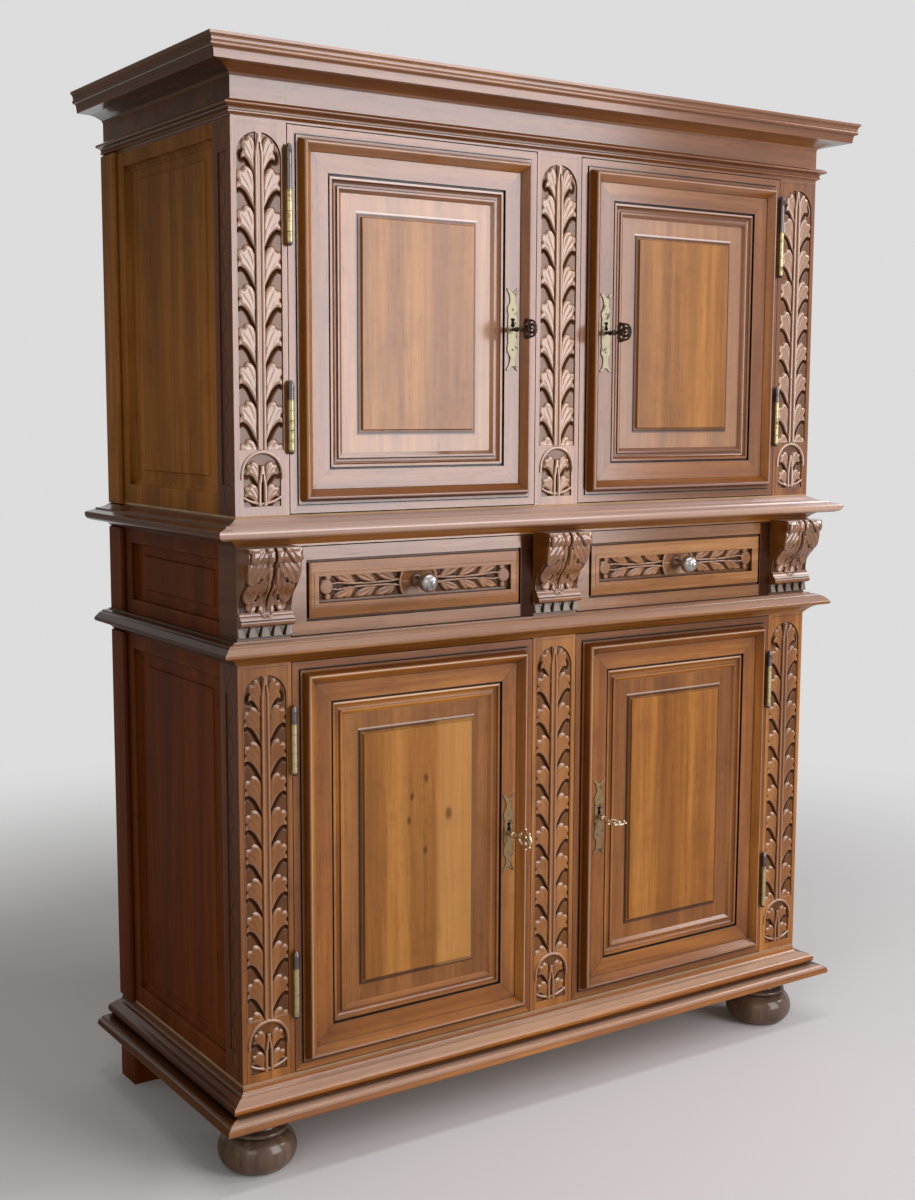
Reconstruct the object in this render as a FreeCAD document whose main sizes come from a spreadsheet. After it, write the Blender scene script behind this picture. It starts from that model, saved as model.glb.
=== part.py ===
"""A two-stage walnut buffet: panelled doors above and below a belt of two drawers, on bun feet.

Millimetres, +Z up. The front faces -Y. The origin is on the floor, midway between the back
and the tips of the keys. The left half is built, and pieces on the right mirror it.
"""

import os

import FreeCAD
import Part
import Sketcher

SIZES = (
    ("width", 1116, "carcase across the outer stiles"),
    ("depth", 456, "carcase from the stile face to the back"),
    ("foot_height", 95, "floor to the base moulding"),
    ("base_height", 48, "base moulding"),
    ("sill", 3, "strip of rail left plain beside a moulding"),
    ("lower_door_height", 612.5, "lower door"),
    ("belt_moulding_height", 35.5, "moulding under the drawers"),
    ("belt_height", 133, "drawer belt between its mouldings"),
    ("waist_height", 39, "moulding over the drawers"),
    ("upper_door_height", 535.5, "upper door"),
    ("astragal_height", 21, "small moulding under the frieze"),
    ("frieze_height", 30.5, "plain frieze"),
    ("cornice_height", 43, "cornice"),
    ("stile_width", 84.5, "outer stile"),
    ("centre_width", 85, "centre stile"),
    ("post_depth", 56, "outer stile, front to back"),
    ("stile_depth", 28, "centre stile, front to back"),
    ("side_thickness", 28, "side rails and rear stiles"),
    ("door_gap", 1.5, "all round a door or a drawer"),
    ("board", 18, "top, shelves, runners"),
    ("floor_board", 22, "floors of both stages"),
    ("back_board", 10, "back boards"),
    ("cornice_reach", 52, "cornice beyond the stile face"),
    ("astragal_reach", 12.7, "astragal beyond the stile face"),
    ("waist_reach", 46, "waist moulding beyond the stile face"),
    ("belt_reach", 34.2, "belt moulding beyond the stile face"),
    ("base_reach", 46, "base moulding beyond the stile face"),
    ("door_thickness", 24, "door frame behind the stile face"),
    ("frame_width", 85, "door frame from the edge to the panel"),
    ("frame_crest", 16, "door moulding beyond the stile face"),
    ("flat_band_level", 4.5, "mitred flat of the door, beyond the stile face"),
    ("flat_band_centre", 47.5, "middle of the mitred flat from the door edge"),
    ("panel_sink", 2, "panel margin behind the stile face"),
    ("groove_lip", 4, "frame in front of the panel tongue"),
    ("groove_depth", 6, "panel groove into the frame"),
    ("panel_play", 0.5, "tongue short of the groove bottom"),
    ("tongue", 10, "thickness of the panel tongue"),
    ("panel_margin", 27, "sight edge to the thin fillet"),
    ("panel_fillet", 4, "thin fillet round the raised field"),
    ("panel_fillet_rise", 1.2, "thin fillet above the margin"),
    ("field_rise", 5, "raised field above the margin"),
    ("field_bevel", 2, "slope of the raised field's edge"),
    ("side_bottom_rail_show", 29, "bottom rail of a side frame above a moulding"),
    ("side_top_rail_show", 20, "top rail of a side frame below a moulding"),
    ("belt_rail_show", 19, "rails of the belt's side frame"),
    ("rear_stile", 75, "rear stile, front to back"),
    ("rear_strip", 56, "reeded strip on the rear stile"),
    ("rear_strip_rise", 5, "reeded strip beyond the side"),
    ("reed", 10, "round reed along the strip's front edge"),
    ("side_moulding", 12, "panel moulding of a side"),
    ("belt_side_moulding", 9, "panel moulding of the belt's side"),
    ("side_sink", 10, "side panel margin behind the side face"),
    ("side_panel", 12, "side panel margin thickness"),
    ("side_margin", 14, "side panel margin above and below its field"),
    ("side_margin_across", 30, "side panel margin beside its field"),
    ("belt_side_margin", 11, "the same above and below the belt's field"),
    ("belt_side_margin_across", 24, "the same beside the belt's field"),
    ("side_field_rise", 2.5, "side field above its margin"),
    ("pilaster_inset", 8, "edge to the sunk field of a pilaster"),
    ("pilaster_head", 16, "top of a pilaster to its arched head"),
    ("pilaster_sink", 6, "depth of the sunk field"),
    ("pilaster_foot", 13, "plain strip at a pilaster's foot"),
    ("stem_width", 9, "stem left standing in the sunk field"),
    ("lunette_height", 74, "arched recess at a pilaster's foot"),
    ("lunette_band", 5, "band round the arched recess"),
    ("side_strip_start", 14, "carved strip on the post's side from the front"),
    ("side_strip_width", 27, "carved strip on the post's side"),
    ("side_strip_sink", 1.5, "depth of that strip"),
    ("side_strip_end", 42, "plain length at each end of that strip"),
    ("foot_radius", 61, "bun foot"),
    ("foot_inset", 42, "bun foot's axis from the front and the side"),
    ("rear_foot", 56, "square rear foot"),
    ("hinge_height", 72, "barrel of a hinge"),
    ("hinge_inset", 88, "barrel from the end of the door"),
    ("barrel_radius", 4.5, "hinge barrel"),
    ("barrel_standoff", 6, "barrel's axis in front of the stile face"),
    ("pin_radius", 2.2, "hinge pin"),
    ("running_fit", 0.05, "round a pin or a shaft"),
    ("knuckle_gap", 0.3, "between knuckles, along and round the pin"),
    ("leaf", 1.5, "thickness of a hinge leaf"),
    ("leaf_depth", 20, "hinge leaf into the door edge"),
    ("finial", 27, "bullet finial of a hinge"),
    ("sleeve", 35, "plain sleeve under the finial of a top hinge"),
    ("lock_length", 64, "lock case from the door edge"),
    ("lock_height", 70, "lock case"),
    ("lock_thickness", 12, "lock case"),
    ("lock_setback", 8, "lock case behind the stile face"),
    ("lock_wall", 1.5, "lock case walls"),
    ("bolt_height", 16, "lock bolt"),
    ("bolt_thickness", 5, "lock bolt"),
    ("bolt_length", 44, "lock bolt"),
    ("bolt_throw", 10, "travel of the bolt"),
    ("bolt_play", 0.2, "bolt in its slot"),
    ("mortise_play", 1, "stile mortise round the thrown bolt"),
    ("key_radius", 3, "key shaft"),
    ("key_collar", 5.5, "collar of the key"),
    ("key_standoff", 31, "stile face to the bow of the key"),
    ("bit_reach", 9, "key bit from the shaft's axis"),
    ("bit_clearance", 1, "turning bit under the bolt"),
    ("bit_width", 2.5, "key bit across"),
    ("bit_length", 6, "key bit along the shaft"),
    ("keyway_play", 2, "door's keyway round the key"),
    ("bow_length", 39, "bow of the key along the shaft"),
    ("bow_lobe", 10, "lobe of the bow"),
    ("bow_hole", 5.5, "pierced hole of a lobe"),
    ("bow_thickness", 4, "bow of the key"),
    ("plate_width", 24.5, "escutcheon"),
    ("plate_height", 125, "escutcheon"),
    ("plate_thickness", 1.8, "escutcheon"),
    ("keyhole_radius", 4.5, "keyhole in the escutcheon"),
    ("drawer_thickness", 22, "drawer front"),
    ("drawer_margin_across", 24, "drawer front's flat frame, at its ends"),
    ("drawer_margin_up", 19, "drawer front's flat frame, top and bottom"),
    ("drawer_groove", 4.5, "groove round the drawer's raised panel"),
    ("drawer_groove_depth", 4, "depth of that groove"),
    ("drawer_raise", 1.5, "raised panel beyond the stile face"),
    ("band_inset", 44, "sunk band from the drawer's end"),
    ("band_height", 39, "sunk band"),
    ("band_sink", 5, "sunk band behind the stile face"),
    ("boss_radius", 33, "round boss of the drawer"),
    ("boss_rise", 4, "boss beyond the stile face"),
    ("knob_radius", 15, "head of the knob"),
    ("knob_length", 40, "knob beyond the boss"),
    ("drawer_side", 12, "drawer sides and back"),
    ("drawer_side_inset", 6, "drawer side from the front's end"),
    ("drawer_back_gap", 44, "drawer's back to the back boards"),
    ("drawer_height", 100, "drawer sides"),
    ("drawer_bottom", 8, "drawer bottom board"),
    ("slide_play", 0.3, "drawer on its runners and guides"),
    ("guide_height", 30, "drawer guides"),
    ("runner_width", 70, "outer drawer runner"),
    ("corbel_reach", 38, "corbel beyond the stile face"),
    ("corbel_groove", 3, "groove down the corbel's middle, wide and deep"),
    ("drop_height", 16, "drops under a corbel"),
    ("drop_rise", 6, "drops beyond the stile face"),
    ("drop_width", 12.5, "foot of a drop"),
    ("drop_top", 7.5, "top of a drop"),
    ("batten", 20, "shelf battens, high"),
    ("batten_width", 16, "shelf battens, wide"),
    ("shelf_setback", 60, "shelf behind the stile face"),
    ("overrun", 1, "cuts past the faces they leave"),
)

# Outlines are walked anticlockwise. A point is two shares, across and up, of the sizes that
# the piece gives. A third number before them is the bulge of an arc that ends there: its
# height over its chord, below zero where the arc swells out of the piece.
CORNICE_SHARES = (
    (0, 0), (0.04, 0.09), (0.06, 0.43, 0.26), (0.81, 0.27), (0.84, 0.52), (0.87, 0.57),
    (-0.4, 0.92, 0.72), (0.93, 0.75), (0.12, 0.98, 0.91), (1, 0.91), (1, 1), (0, 1),
)
ASTRAGAL_SHARES = (
    (0, 0), (0.12, 0.08), (0.43, 0.18), (0.43, 0.26), (0.34, 0.33), (0.15, 0.49, 0.53),
    (0.92, 0.62), (-0.35, 1, 0.79), (-0.1, 0, 1),
)
WAIST_SHARES = (
    (0, 0), (0.04, 0), (0.15, 0.78, 0.3), (0.82, 0.33), (-0.22, 1, 0.6), (0.97, 0.65),
    (0.62, 0.74), (0.59, 0.8), (0.08, 0.1, 0.96), (0, 1),
)
BELT_MOULDING_SHARES = (
    (0, 0), (0.04, 0), (0.12, 0.82, 0.42), (0.86, 0.44), (-0.4, 0.97, 0.62), (0.74, 0.83),
    (0.15, 0.6, 0.92), (0.27, 0.95), (0.25, 1), (0, 1),
)
BASE_SHARES = (
    (0, 0), (0.98, 0), (1, 0.05), (0.96, 0.2), (0.15, 0.8, 0.28), (0.43, 0.3), (0.42, 0.36),
    (-0.35, 0.52, 0.66), (0.38, 0.7), (0.21, 0.76), (0.2, 0.02, 0.87), (0, 1),
)
DOOR_FACE_SHARES = (
    (0.94, 0.13), (0.91, 0.13), (0.91, -0.02), (0.22, 0.8, 0.19), (0.76, 0.19), (0.75, 0.06),
    (0.72, 0.06), (0.72, 0.28), (0.4, 0.28), (0.39, 0.36), (0.28, 0.98), (-0.25, 0.24, 0.92),
    (0.19, 0.12), (0.148, 0.12), (0.145, -0.08), (0.13, -0.08), (0.13, 0), (0, 0),
)
SIDE_FACE_SHARES = ((1, -0.9), (0.82, -0.84), (0.2, 0.3, -0.32), (0.26, -0.1), (0.1, 0), (0, 0))
CORBEL_SHARES = (
    (0, 0.15), (0.16, 0.15), (0.3, 0.17), (0.36, 0.17), (0.37, 0.225), (0.33, 0.235),
    (0.12, 0.24, 0.3), (0.12, 0.42, 0.5), (-0.12, 0.97, 0.84), (-0.3, 0.82, 1), (0, 1),
)
FOOT_SHARES = (
    (0, 0), (0.66, 0), (-0.3, 0.74, 0.57), (0.7, 0.59), (-0.5, 0.7, 0.67), (0.6, 0.69),
    (0.2, 0.64, 0.83), (0.78, 0.85), (-0.4, 0.78, 0.93), (0.7, 0.95), (0.7, 1), (0, 1),
)
KNOB_SHARES = (
    (0, -1), (-0.1, 0.3, -0.97), (0.36, -0.92), (-0.32, 0.91, -0.62), (-0.3, 0.6, -0.48),
    (0.33, -0.44), (0.1, 0.3, -0.16), (0.6, -0.07), (0.6, 0), (0, 0),
)
# Each ring of the key: where it starts and ends on the standoff, and its bulge.
KEY_RING_SHARES = ((0.95, 0.8, -0.35), (0.62, 0.3, -0.25))
BOSS_SHARES = ((0, -1), (0.28, -1), (0.3, -0.6), (0.88, -1), (-0.3, 1, -0.75), (1, 0), (0, 0))
PLATE_SHARES = (
    (0, -0.9), (0.8, -1), (0.12, 0.38, -0.76), (-0.2, 0.72, -0.4), (0.9, -0.3), (0.9, 0.3),
    (0.72, 0.4), (-0.2, 0.38, 0.76), (0.12, 0.8, 1), (0, 0.9),
)
# The bullet's straight part over its height, the bulge of its ends, and the flat at a tip.
FINIAL_SHARES = (0.5, -0.12, 0.3)
REED_BULGE_SHARE = -0.5
SEMICIRCLE_SHARE = -0.5
BOW_LOBE_SHARE = 0.8
BOW_NEAR_SHARE = 1.25
BATTEN_LEVEL_SHARE = 0.5
CORBEL_CURVE = slice(6, 9)
KNUCKLES = 5
BACK_BOARDS = 6
DROPS = 5

doc = FreeCAD.newDocument("Buffet")
sheet = doc.addObject("Spreadsheet::Sheet", "Sizes")
for row, (alias, number, note) in enumerate(SIZES, 1):
    sheet.set(f"A{row}", alias)
    sheet.set(f"B{row}", str(number))
    sheet.set(f"C{row}", note)
    sheet.setAlias(f"B{row}", alias)
doc.recompute()

nodes = {}


# Sizes and expressions

def size(alias):
    return float(getattr(sheet, alias))


def value(expression):
    return float(sheet.evalExpression(expression))


def cell(*aliases):
    return "(" + " + ".join(f"Sizes.{alias}" for alias in aliases) + ")"


HALF = "(Sizes.width / 2)"
HALF_CENTRE = "(Sizes.centre_width / 2)"
STILE_EDGE = f"({HALF} - Sizes.stile_width)"
DOOR_OUTER = f"({STILE_EDGE} - Sizes.door_gap)"
DOOR_INNER = f"({HALF_CENTRE} + Sizes.door_gap)"
DOOR_WIDTH = f"({DOOR_OUTER} - {DOOR_INNER})"
FRONT = "((Sizes.key_standoff + Sizes.bow_length - Sizes.depth) / 2)"
BACK = f"({FRONT} + Sizes.depth)"

Z_BASE = cell("foot_height")
Z_LOWER = f"({Z_BASE} + Sizes.base_height)"
Z_LOWER_SILL = f"({Z_LOWER} + Sizes.sill)"
Z_LOWER_DOOR = f"({Z_LOWER_SILL} + Sizes.door_gap)"
Z_BELT_RAIL = f"({Z_LOWER_DOOR} + Sizes.lower_door_height + Sizes.door_gap)"
Z_BELT = f"({Z_BELT_RAIL} + Sizes.belt_moulding_height)"
Z_WAIST = f"({Z_BELT} + Sizes.belt_height)"
Z_WAIST_RAIL = f"({Z_WAIST} - Sizes.sill)"
Z_UPPER = f"({Z_WAIST} + Sizes.waist_height)"
Z_UPPER_SILL = f"({Z_UPPER} + Sizes.sill)"
Z_UPPER_FLOOR = f"({Z_UPPER_SILL} - Sizes.floor_board)"
Z_LOWER_FLOOR = f"({Z_LOWER_SILL} - Sizes.floor_board)"
Z_UPPER_DOOR = f"({Z_UPPER_SILL} + Sizes.door_gap)"
Z_LINTEL = f"({Z_UPPER_DOOR} + Sizes.upper_door_height + Sizes.door_gap)"
Z_ASTRAGAL = f"({Z_LINTEL} + Sizes.sill)"
Z_CORNICE = f"({Z_ASTRAGAL} + Sizes.astragal_height + Sizes.frieze_height)"
Z_TOP = f"({Z_CORNICE} + Sizes.cornice_height)"
Z_TOP_BOARD = f"({Z_TOP} - Sizes.board)"
Z_DRAWER = f"({Z_BELT} + Sizes.door_gap)"
DRAWER_HEIGHT = f"({Z_WAIST_RAIL} - Sizes.door_gap - {Z_DRAWER})"
Z_RUNNER = f"({Z_DRAWER} - Sizes.slide_play)"


# Document objects

def bind(item, **expressions):
    for name, expression in expressions.items():
        item.setExpression(name, expression)
    return item


def place(item, x="0", y="0", z="0"):
    for axis, expression in zip("xyz", (x, y, z)):
        if expression != "0":
            item.setExpression(f"Placement.Base.{axis}", expression)
    return item


def box(name, low, lengths):
    item = doc.addObject("Part::Box", name)
    bind(item, Length=lengths[0], Width=lengths[1], Height=lengths[2])
    return place(item, *low)


def box_between(name, x, y, z):
    spans = [f"({high}) - ({low})" for low, high in (x, y, z)]
    return box(name, (x[0], y[0], z[0]), spans)


def rod(name, centre, radius, length, along):
    """A cylinder that starts at a point and runs along a direction."""
    item = doc.addObject("Part::Cylinder", name)
    turn = FreeCAD.Rotation(FreeCAD.Vector(0, 0, 1), FreeCAD.Vector(*along))
    item.Placement = FreeCAD.Placement(FreeCAD.Vector(), turn)
    bind(item, Radius=radius, Height=length)
    return place(item, *centre)


def fuse(name, *members):
    item = doc.addObject("Part::MultiFuse", name)
    item.Shapes = list(members)
    return item


def cut(name, base, *tools):
    item = doc.addObject("Part::Cut", name)
    item.Base = base
    item.Tool = tools[0] if len(tools) == 1 else fuse(f"{name}_tools", *tools)
    return item


def group(name, *members):
    item = doc.addObject("Part::Compound", name)
    item.Links = list(members)
    return item


def mirror(name, source):
    item = doc.addObject("Part::Mirroring", name)
    item.Source = source
    item.Normal = FreeCAD.Vector(1, 0, 0)
    return item


def node(name, item):
    item.Label = name
    nodes[name] = item
    return item


def node_pair(name, item):
    """The left piece, and the right one as its mirror image."""
    node(name.format(side="left"), item)
    label = name.format(side="right")
    node(label, mirror(f"{label}_mirror", item))


# Sketched outlines

def scaled(shares, across, up):
    """Points as expressions, from shares of two sizes."""
    return [(*bulge, f"{across} * ({x})", f"{up} * ({y})") for *bulge, x, y in shares]


def flipped(shares):
    """The same outline, seen from its other side."""
    return [(*(-number for number in bulge), -x, y) for *bulge, x, y in shares]


def symmetric(shares):
    """A whole outline from its right half, which starts and ends on the axis."""
    bulges = [share[:-2] for share in shares]
    left = []
    for index in range(len(shares) - 2, 0, -1):
        x, y = shares[index][-2:]
        left.append((*bulges[index + 1], -x, y))
    return [(*bulges[1], *shares[0]), *shares[1:], *left]


def rectangle(x, y):
    return [(x[0], y[0]), (x[1], y[0]), (x[1], y[1]), (x[0], y[1])]


def begin_body(name):
    return doc.addObject("PartDesign::Body", name)


def pin_point(sketch, geometry, position, x, y):
    for kind, expression in (("DistanceX", x), ("DistanceY", y)):
        if expression is not None:
            rule = Sketcher.Constraint(kind, geometry, position, value(expression))
            number = sketch.addConstraint(rule)
            sketch.setExpression(f"Constraints[{number}]", expression)


def add_loop(sketch, steps):
    """A closed loop. Its corners, and each arc's centre, are bound to the sheet."""
    first = sketch.GeometryCount
    places = [FreeCAD.Vector(value(step[-2]), value(step[-1]), 0) for step in steps]
    count = len(steps)
    ends = []
    for index in range(count):
        start, step = places[index], steps[(index + 1) % count]
        end = places[(index + 1) % count]
        ends.append((1, 2))
        if len(step) == 2:
            sketch.addGeometry(Part.LineSegment(start, end))
            continue
        chord = end - start
        middle = (start + end) / 2 + FreeCAD.Vector(-chord.y, chord.x, 0) * step[0]
        if step[0] < 0:
            sketch.addGeometry(Part.ArcOfCircle(start, middle, end))
        else:
            sketch.addGeometry(Part.ArcOfCircle(end, middle, start))
            ends[index] = (2, 1)
    for index in range(count):
        here, after = first + index, (index + 1) % count
        start, end = ends[index]
        join = Sketcher.Constraint("Coincident", here, end, first + after, ends[after][0])
        sketch.addConstraint(join)
        pin_point(sketch, here, start, steps[index][-2], steps[index][-1])
        if len(steps[after]) == 3:
            pin_arc(sketch, here, steps[index], steps[after])


def pin_arc(sketch, geometry, step_from, step_to):
    """Holds an arc's centre on the line that its bulge gives."""
    bulge = step_to[0]
    lean = (4 * bulge * bulge - 1) / (8 * bulge)
    x_from, y_from, x_to, y_to = step_from[-2], step_from[-1], step_to[-2], step_to[-1]
    across = f"(({x_to}) - ({x_from}))"
    up = f"(({y_to}) - ({y_from}))"
    if abs(value(up)) > abs(value(across)):
        pin_point(sketch, geometry, 3, f"(({x_to}) + ({x_from})) / 2 - {up} * ({lean})", None)
    else:
        pin_point(sketch, geometry, 3, None, f"(({y_to}) + ({y_from})) / 2 + {across} * ({lean})")


def draw(body, role, *loops):
    sketch = body.newObject("Sketcher::SketchObject", f"{body.Name}_sketch")
    plane = next(item for item in body.Origin.OriginFeatures if item.Role == role)
    sketch.AttachmentSupport = [(plane, "")]
    sketch.MapMode = "FlatFace"
    for loop in loops:
        add_loop(sketch, loop)
    return sketch


def pad(body, sketch, length, reverse=False, both=False):
    item = body.newObject("PartDesign::Pad", f"{body.Name}_pad")
    item.Profile = sketch
    item.Reversed = reverse
    item.Midplane = both
    item.setExpression("Length", length)
    return item


def pocket(body, sketch, length, reverse=False, both=False):
    item = body.newObject("PartDesign::Pocket", f"{body.Name}_pocket")
    item.Profile = sketch
    item.Reversed = reverse
    item.Midplane = both
    item.setExpression("Length", length)
    return item


def turned_body(name, role, loop):
    """A piece turned about its sketch's upright axis."""
    body = begin_body(name)
    sketch = draw(body, role, loop)
    item = body.newObject("PartDesign::Revolution", f"{name}_turning")
    item.Profile = sketch
    item.ReferenceAxis = (sketch, ["V_Axis"])
    item.Angle = 360
    return body


# Mitred bars, made in a frame of their own: x along the bar, p across it, q up from its back

def bar_face(points):
    edges = []
    for index, (*_, p, q) in enumerate(points):
        start = FreeCAD.Vector(0, p, q)
        *bulge, p_next, q_next = points[(index + 1) % len(points)]
        end = FreeCAD.Vector(0, p_next, q_next)
        if bulge:
            chord = end - start
            middle = (start + end) / 2 + FreeCAD.Vector(0, -chord.z, chord.y) * bulge[0]
            edges.append(Part.Arc(start, middle, end).toShape())
        else:
            edges.append(Part.LineSegment(start, end).toShape())
    return Part.Face(Part.Wire(edges))


def mitred_bar(points, length, start, end):
    """start and end: 1 shortens the bar across its width, -1 lengthens it, 0 is square."""
    reach = max(point[-2] for point in points)
    spare = size("overrun")
    low = min(point[-1] for point in points) - spare
    high = max(point[-1] for point in points) + spare
    run = bar_face(points)
    run.translate(FreeCAD.Vector(-reach - spare, 0, 0))
    run = run.extrude(FreeCAD.Vector(length + 2 * (reach + spare), 0, 0))
    far = reach + spare
    plan = [
        FreeCAD.Vector(-start * spare, -spare, low),
        FreeCAD.Vector(length + end * spare, -spare, low),
        FreeCAD.Vector(length - end * far, far, low),
        FreeCAD.Vector(start * far, far, low),
    ]
    prism = Part.Face(Part.makePolygon(plan + plan[:1])).extrude(FreeCAD.Vector(0, 0, high - low))
    return run.common(prism).Solids[0]


def oriented(shape, corner, along, across):
    """Moves a bar so that x runs along one direction and p along another."""
    up = along.cross(across)
    turn = FreeCAD.Matrix(
        along.x, across.x, up.x, corner.x,
        along.y, across.y, up.y, corner.y,
        along.z, across.z, up.z, corner.z,
        0, 0, 0, 1,
    )
    moved = shape.copy()
    moved.Placement = FreeCAD.Placement(turn)
    return moved


def numbers(shares, across, up):
    return [(*bulge, right * across, rise * up) for *bulge, right, rise in shares]


def frame_bars(points, corner, right, rise, across, tall):
    """Four bars round a rectangle: bottom, right, top, left."""
    wide, high = right * across, rise * tall
    walk = (
        (corner, right, rise, across),
        (corner + wide, rise, -right, tall),
        (corner + wide + high, -right, -rise, across),
        (corner + high, -rise, right, tall),
    )
    bars = []
    for start, along, inward, length in walk:
        bars.append(oriented(mitred_bar(points, length, 1, 1), start, along, inward))
    return bars


def feature(name, shape, corner=(0, 0, 0)):
    item = doc.addObject("Part::Feature", name)
    item.Shape = shape
    shift = FreeCAD.Placement(FreeCAD.Vector(*corner), FreeCAD.Rotation())
    item.Placement = shift.multiply(shape.Placement)
    return item


def surround(name, shares, reach, height, level):
    """A moulding along the front and both sides, mitred at the front corners."""
    points = numbers(shares, size(reach), size(height))
    width, depth = size("width"), size("depth")
    front, left = FreeCAD.Vector(0, -1, 0), FreeCAD.Vector(-1, 0, 0)
    half = width / 2
    front_bar = oriented(
        mitred_bar(points, width, -1, -1), FreeCAD.Vector(half, 0, 0), left, front
    )
    left_bar = oriented(
        mitred_bar(points, depth, -1, 0), FreeCAD.Vector(-half, 0, 0), -front, left
    )
    corner = (0, value(FRONT), value(level))
    face = feature(f"{name}_front", front_bar, corner)
    return_left = feature(f"{name}_left", left_bar, corner)
    node(name, group(name, face, return_left, mirror(f"{name}_right", return_left)))


# Carcase

def build_mouldings():
    surround("cornice", CORNICE_SHARES, "cornice_reach", "cornice_height", Z_CORNICE)
    surround("astragal", ASTRAGAL_SHARES, "astragal_reach", "astragal_height", Z_ASTRAGAL)
    surround("waist_moulding", WAIST_SHARES, "waist_reach", "waist_height", Z_WAIST)
    surround(
        "belt_moulding", BELT_MOULDING_SHARES, "belt_reach", "belt_moulding_height", Z_BELT_RAIL
    )
    surround("base_moulding", BASE_SHARES, "base_reach", "base_height", Z_BASE)


def full_width(name, y, z):
    return box_between(name, (f"-{HALF}", HALF), y, z)


def build_boards():
    node("top_board", full_width("top_board", (FRONT, BACK), (Z_TOP_BOARD, Z_TOP)))
    lower = full_width("lower_floor", (FRONT, BACK), (Z_LOWER_FLOOR, Z_LOWER_SILL))
    upper = full_width("upper_floor", (FRONT, BACK), (Z_UPPER_FLOOR, Z_UPPER_SILL))
    node("floors", group("floors", lower, upper))
    post_back = f"({FRONT} + Sizes.post_depth)"
    frieze = full_width("frieze_front", (FRONT, post_back), (Z_LINTEL, Z_TOP_BOARD))
    frieze_side = side_board("frieze_left", (post_back, BACK), (Z_LINTEL, Z_TOP_BOARD))
    node("frieze_rail", group("frieze", frieze, frieze_side, mirror("frieze_right", frieze_side)))
    under = (Z_BASE, Z_LOWER_FLOOR)
    base_front = full_width("base_front", (FRONT, post_back), under)
    back_rail = f"({BACK} - Sizes.side_thickness)"
    base_side = box_between(
        "base_left", (f"-{HALF}", f"-{HALF} + Sizes.rear_foot"), (post_back, back_rail), under
    )
    base_back = full_width("base_back", (back_rail, BACK), under)
    base_right = mirror("base_right", base_side)
    node("base_frame", group("base_frame", base_front, base_side, base_right, base_back))


def side_board(name, y, z):
    return box_between(name, (f"-{HALF}", f"-{HALF} + Sizes.side_thickness"), y, z)


def build_back():
    boards = []
    inner = f"({HALF} - Sizes.side_thickness)"
    step = f"(2 * {inner} / {BACK_BOARDS})"
    y = f"{BACK} - Sizes.back_board"
    for stage, low, high in (
        ("lower", Z_LOWER_SILL, Z_UPPER_FLOOR),
        ("upper", Z_UPPER_SILL, Z_TOP_BOARD),
    ):
        for index in range(BACK_BOARDS):
            low_corner = (f"-{inner} + {step} * {index}", y, low)
            lengths = (step, "Sizes.back_board", f"{high} - {low}")
            boards.append(box(f"{stage}_back_{index + 1}", low_corner, lengths))
    node("back_boards", group("back_boards", *boards))


def reeded_strip(name, low, high):
    """The strip on a rear stile, with a round reed along its front edge."""
    body = begin_body(name)
    width, rise, reed = "Sizes.rear_strip", "Sizes.rear_strip_rise", "Sizes.reed"
    loop = [
        ("0", f"-{width}"),
        ("0", "0"),
        (f"-{rise}", "0"),
        (f"-{rise}", f"-{width} + {reed}"),
        (f"-{rise} / 2", f"-{width} + {reed}"),
        (REED_BULGE_SHARE, f"-{rise} / 2", f"-{width}"),
    ]
    pad(body, draw(body, "XY_Plane", loop), f"{high} - {low}")
    return place(body, f"-{HALF}", BACK, low)


def build_sides():
    post_back = f"({FRONT} + Sizes.post_depth)"
    stile_front = f"({BACK} - Sizes.rear_stile)"
    stages = (
        ("lower", Z_LOWER_SILL, Z_BELT_RAIL, Z_LOWER, Z_BELT_RAIL),
        ("belt", Z_BELT_RAIL, Z_UPPER_FLOOR, Z_BELT, Z_WAIST),
        ("upper", Z_UPPER_SILL, Z_LINTEL, Z_UPPER, Z_ASTRAGAL),
    )
    frames, panels, mouldings = [], [], []
    for stage, low, high, strip_low, strip_high in stages:
        is_belt = stage == "belt"
        bottom_rail = "belt_rail_show" if is_belt else "side_bottom_rail_show"
        top_rail = "belt_rail_show" if is_belt else "side_top_rail_show"
        open_low = f"({strip_low} + Sizes.{bottom_rail})"
        open_high = f"({strip_high} - Sizes.{top_rail})"
        frames.append(side_board(f"{stage}_rear_stile", (stile_front, BACK), (low, high)))
        for place_name, span in (("bottom", (low, open_low)), ("top", (open_high, high))):
            name = f"{stage}_side_{place_name}_rail"
            frames.append(side_board(name, (post_back, stile_front), span))
        frames.append(reeded_strip(f"{stage}_strip", strip_low, strip_high))
        moulding = "belt_side_moulding" if is_belt else "side_moulding"
        margin = "belt_side_margin" if is_belt else "side_margin"
        opening = (post_back, stile_front), (open_low, open_high)
        panels.append(side_panel(f"{stage}_side_panel", opening, moulding, margin))
        mouldings += side_moulding(f"{stage}_side_moulding", opening, moulding)
    foot_x = (
        f"-{HALF} - Sizes.rear_strip_rise",
        f"-{HALF} - Sizes.rear_strip_rise + Sizes.rear_foot",
    )
    foot_y = (f"{BACK} - Sizes.rear_foot", BACK)
    frames.append(box_between("rear_foot", foot_x, foot_y, ("0", Z_BASE)))
    for name, pieces in (
        ("side_frames", frames), ("side_panels", panels), ("side_mouldings", mouldings)
    ):
        left = group(f"{name}_left", *pieces)
        node(name, group(name, left, mirror(f"{name}_right", left)))


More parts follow.
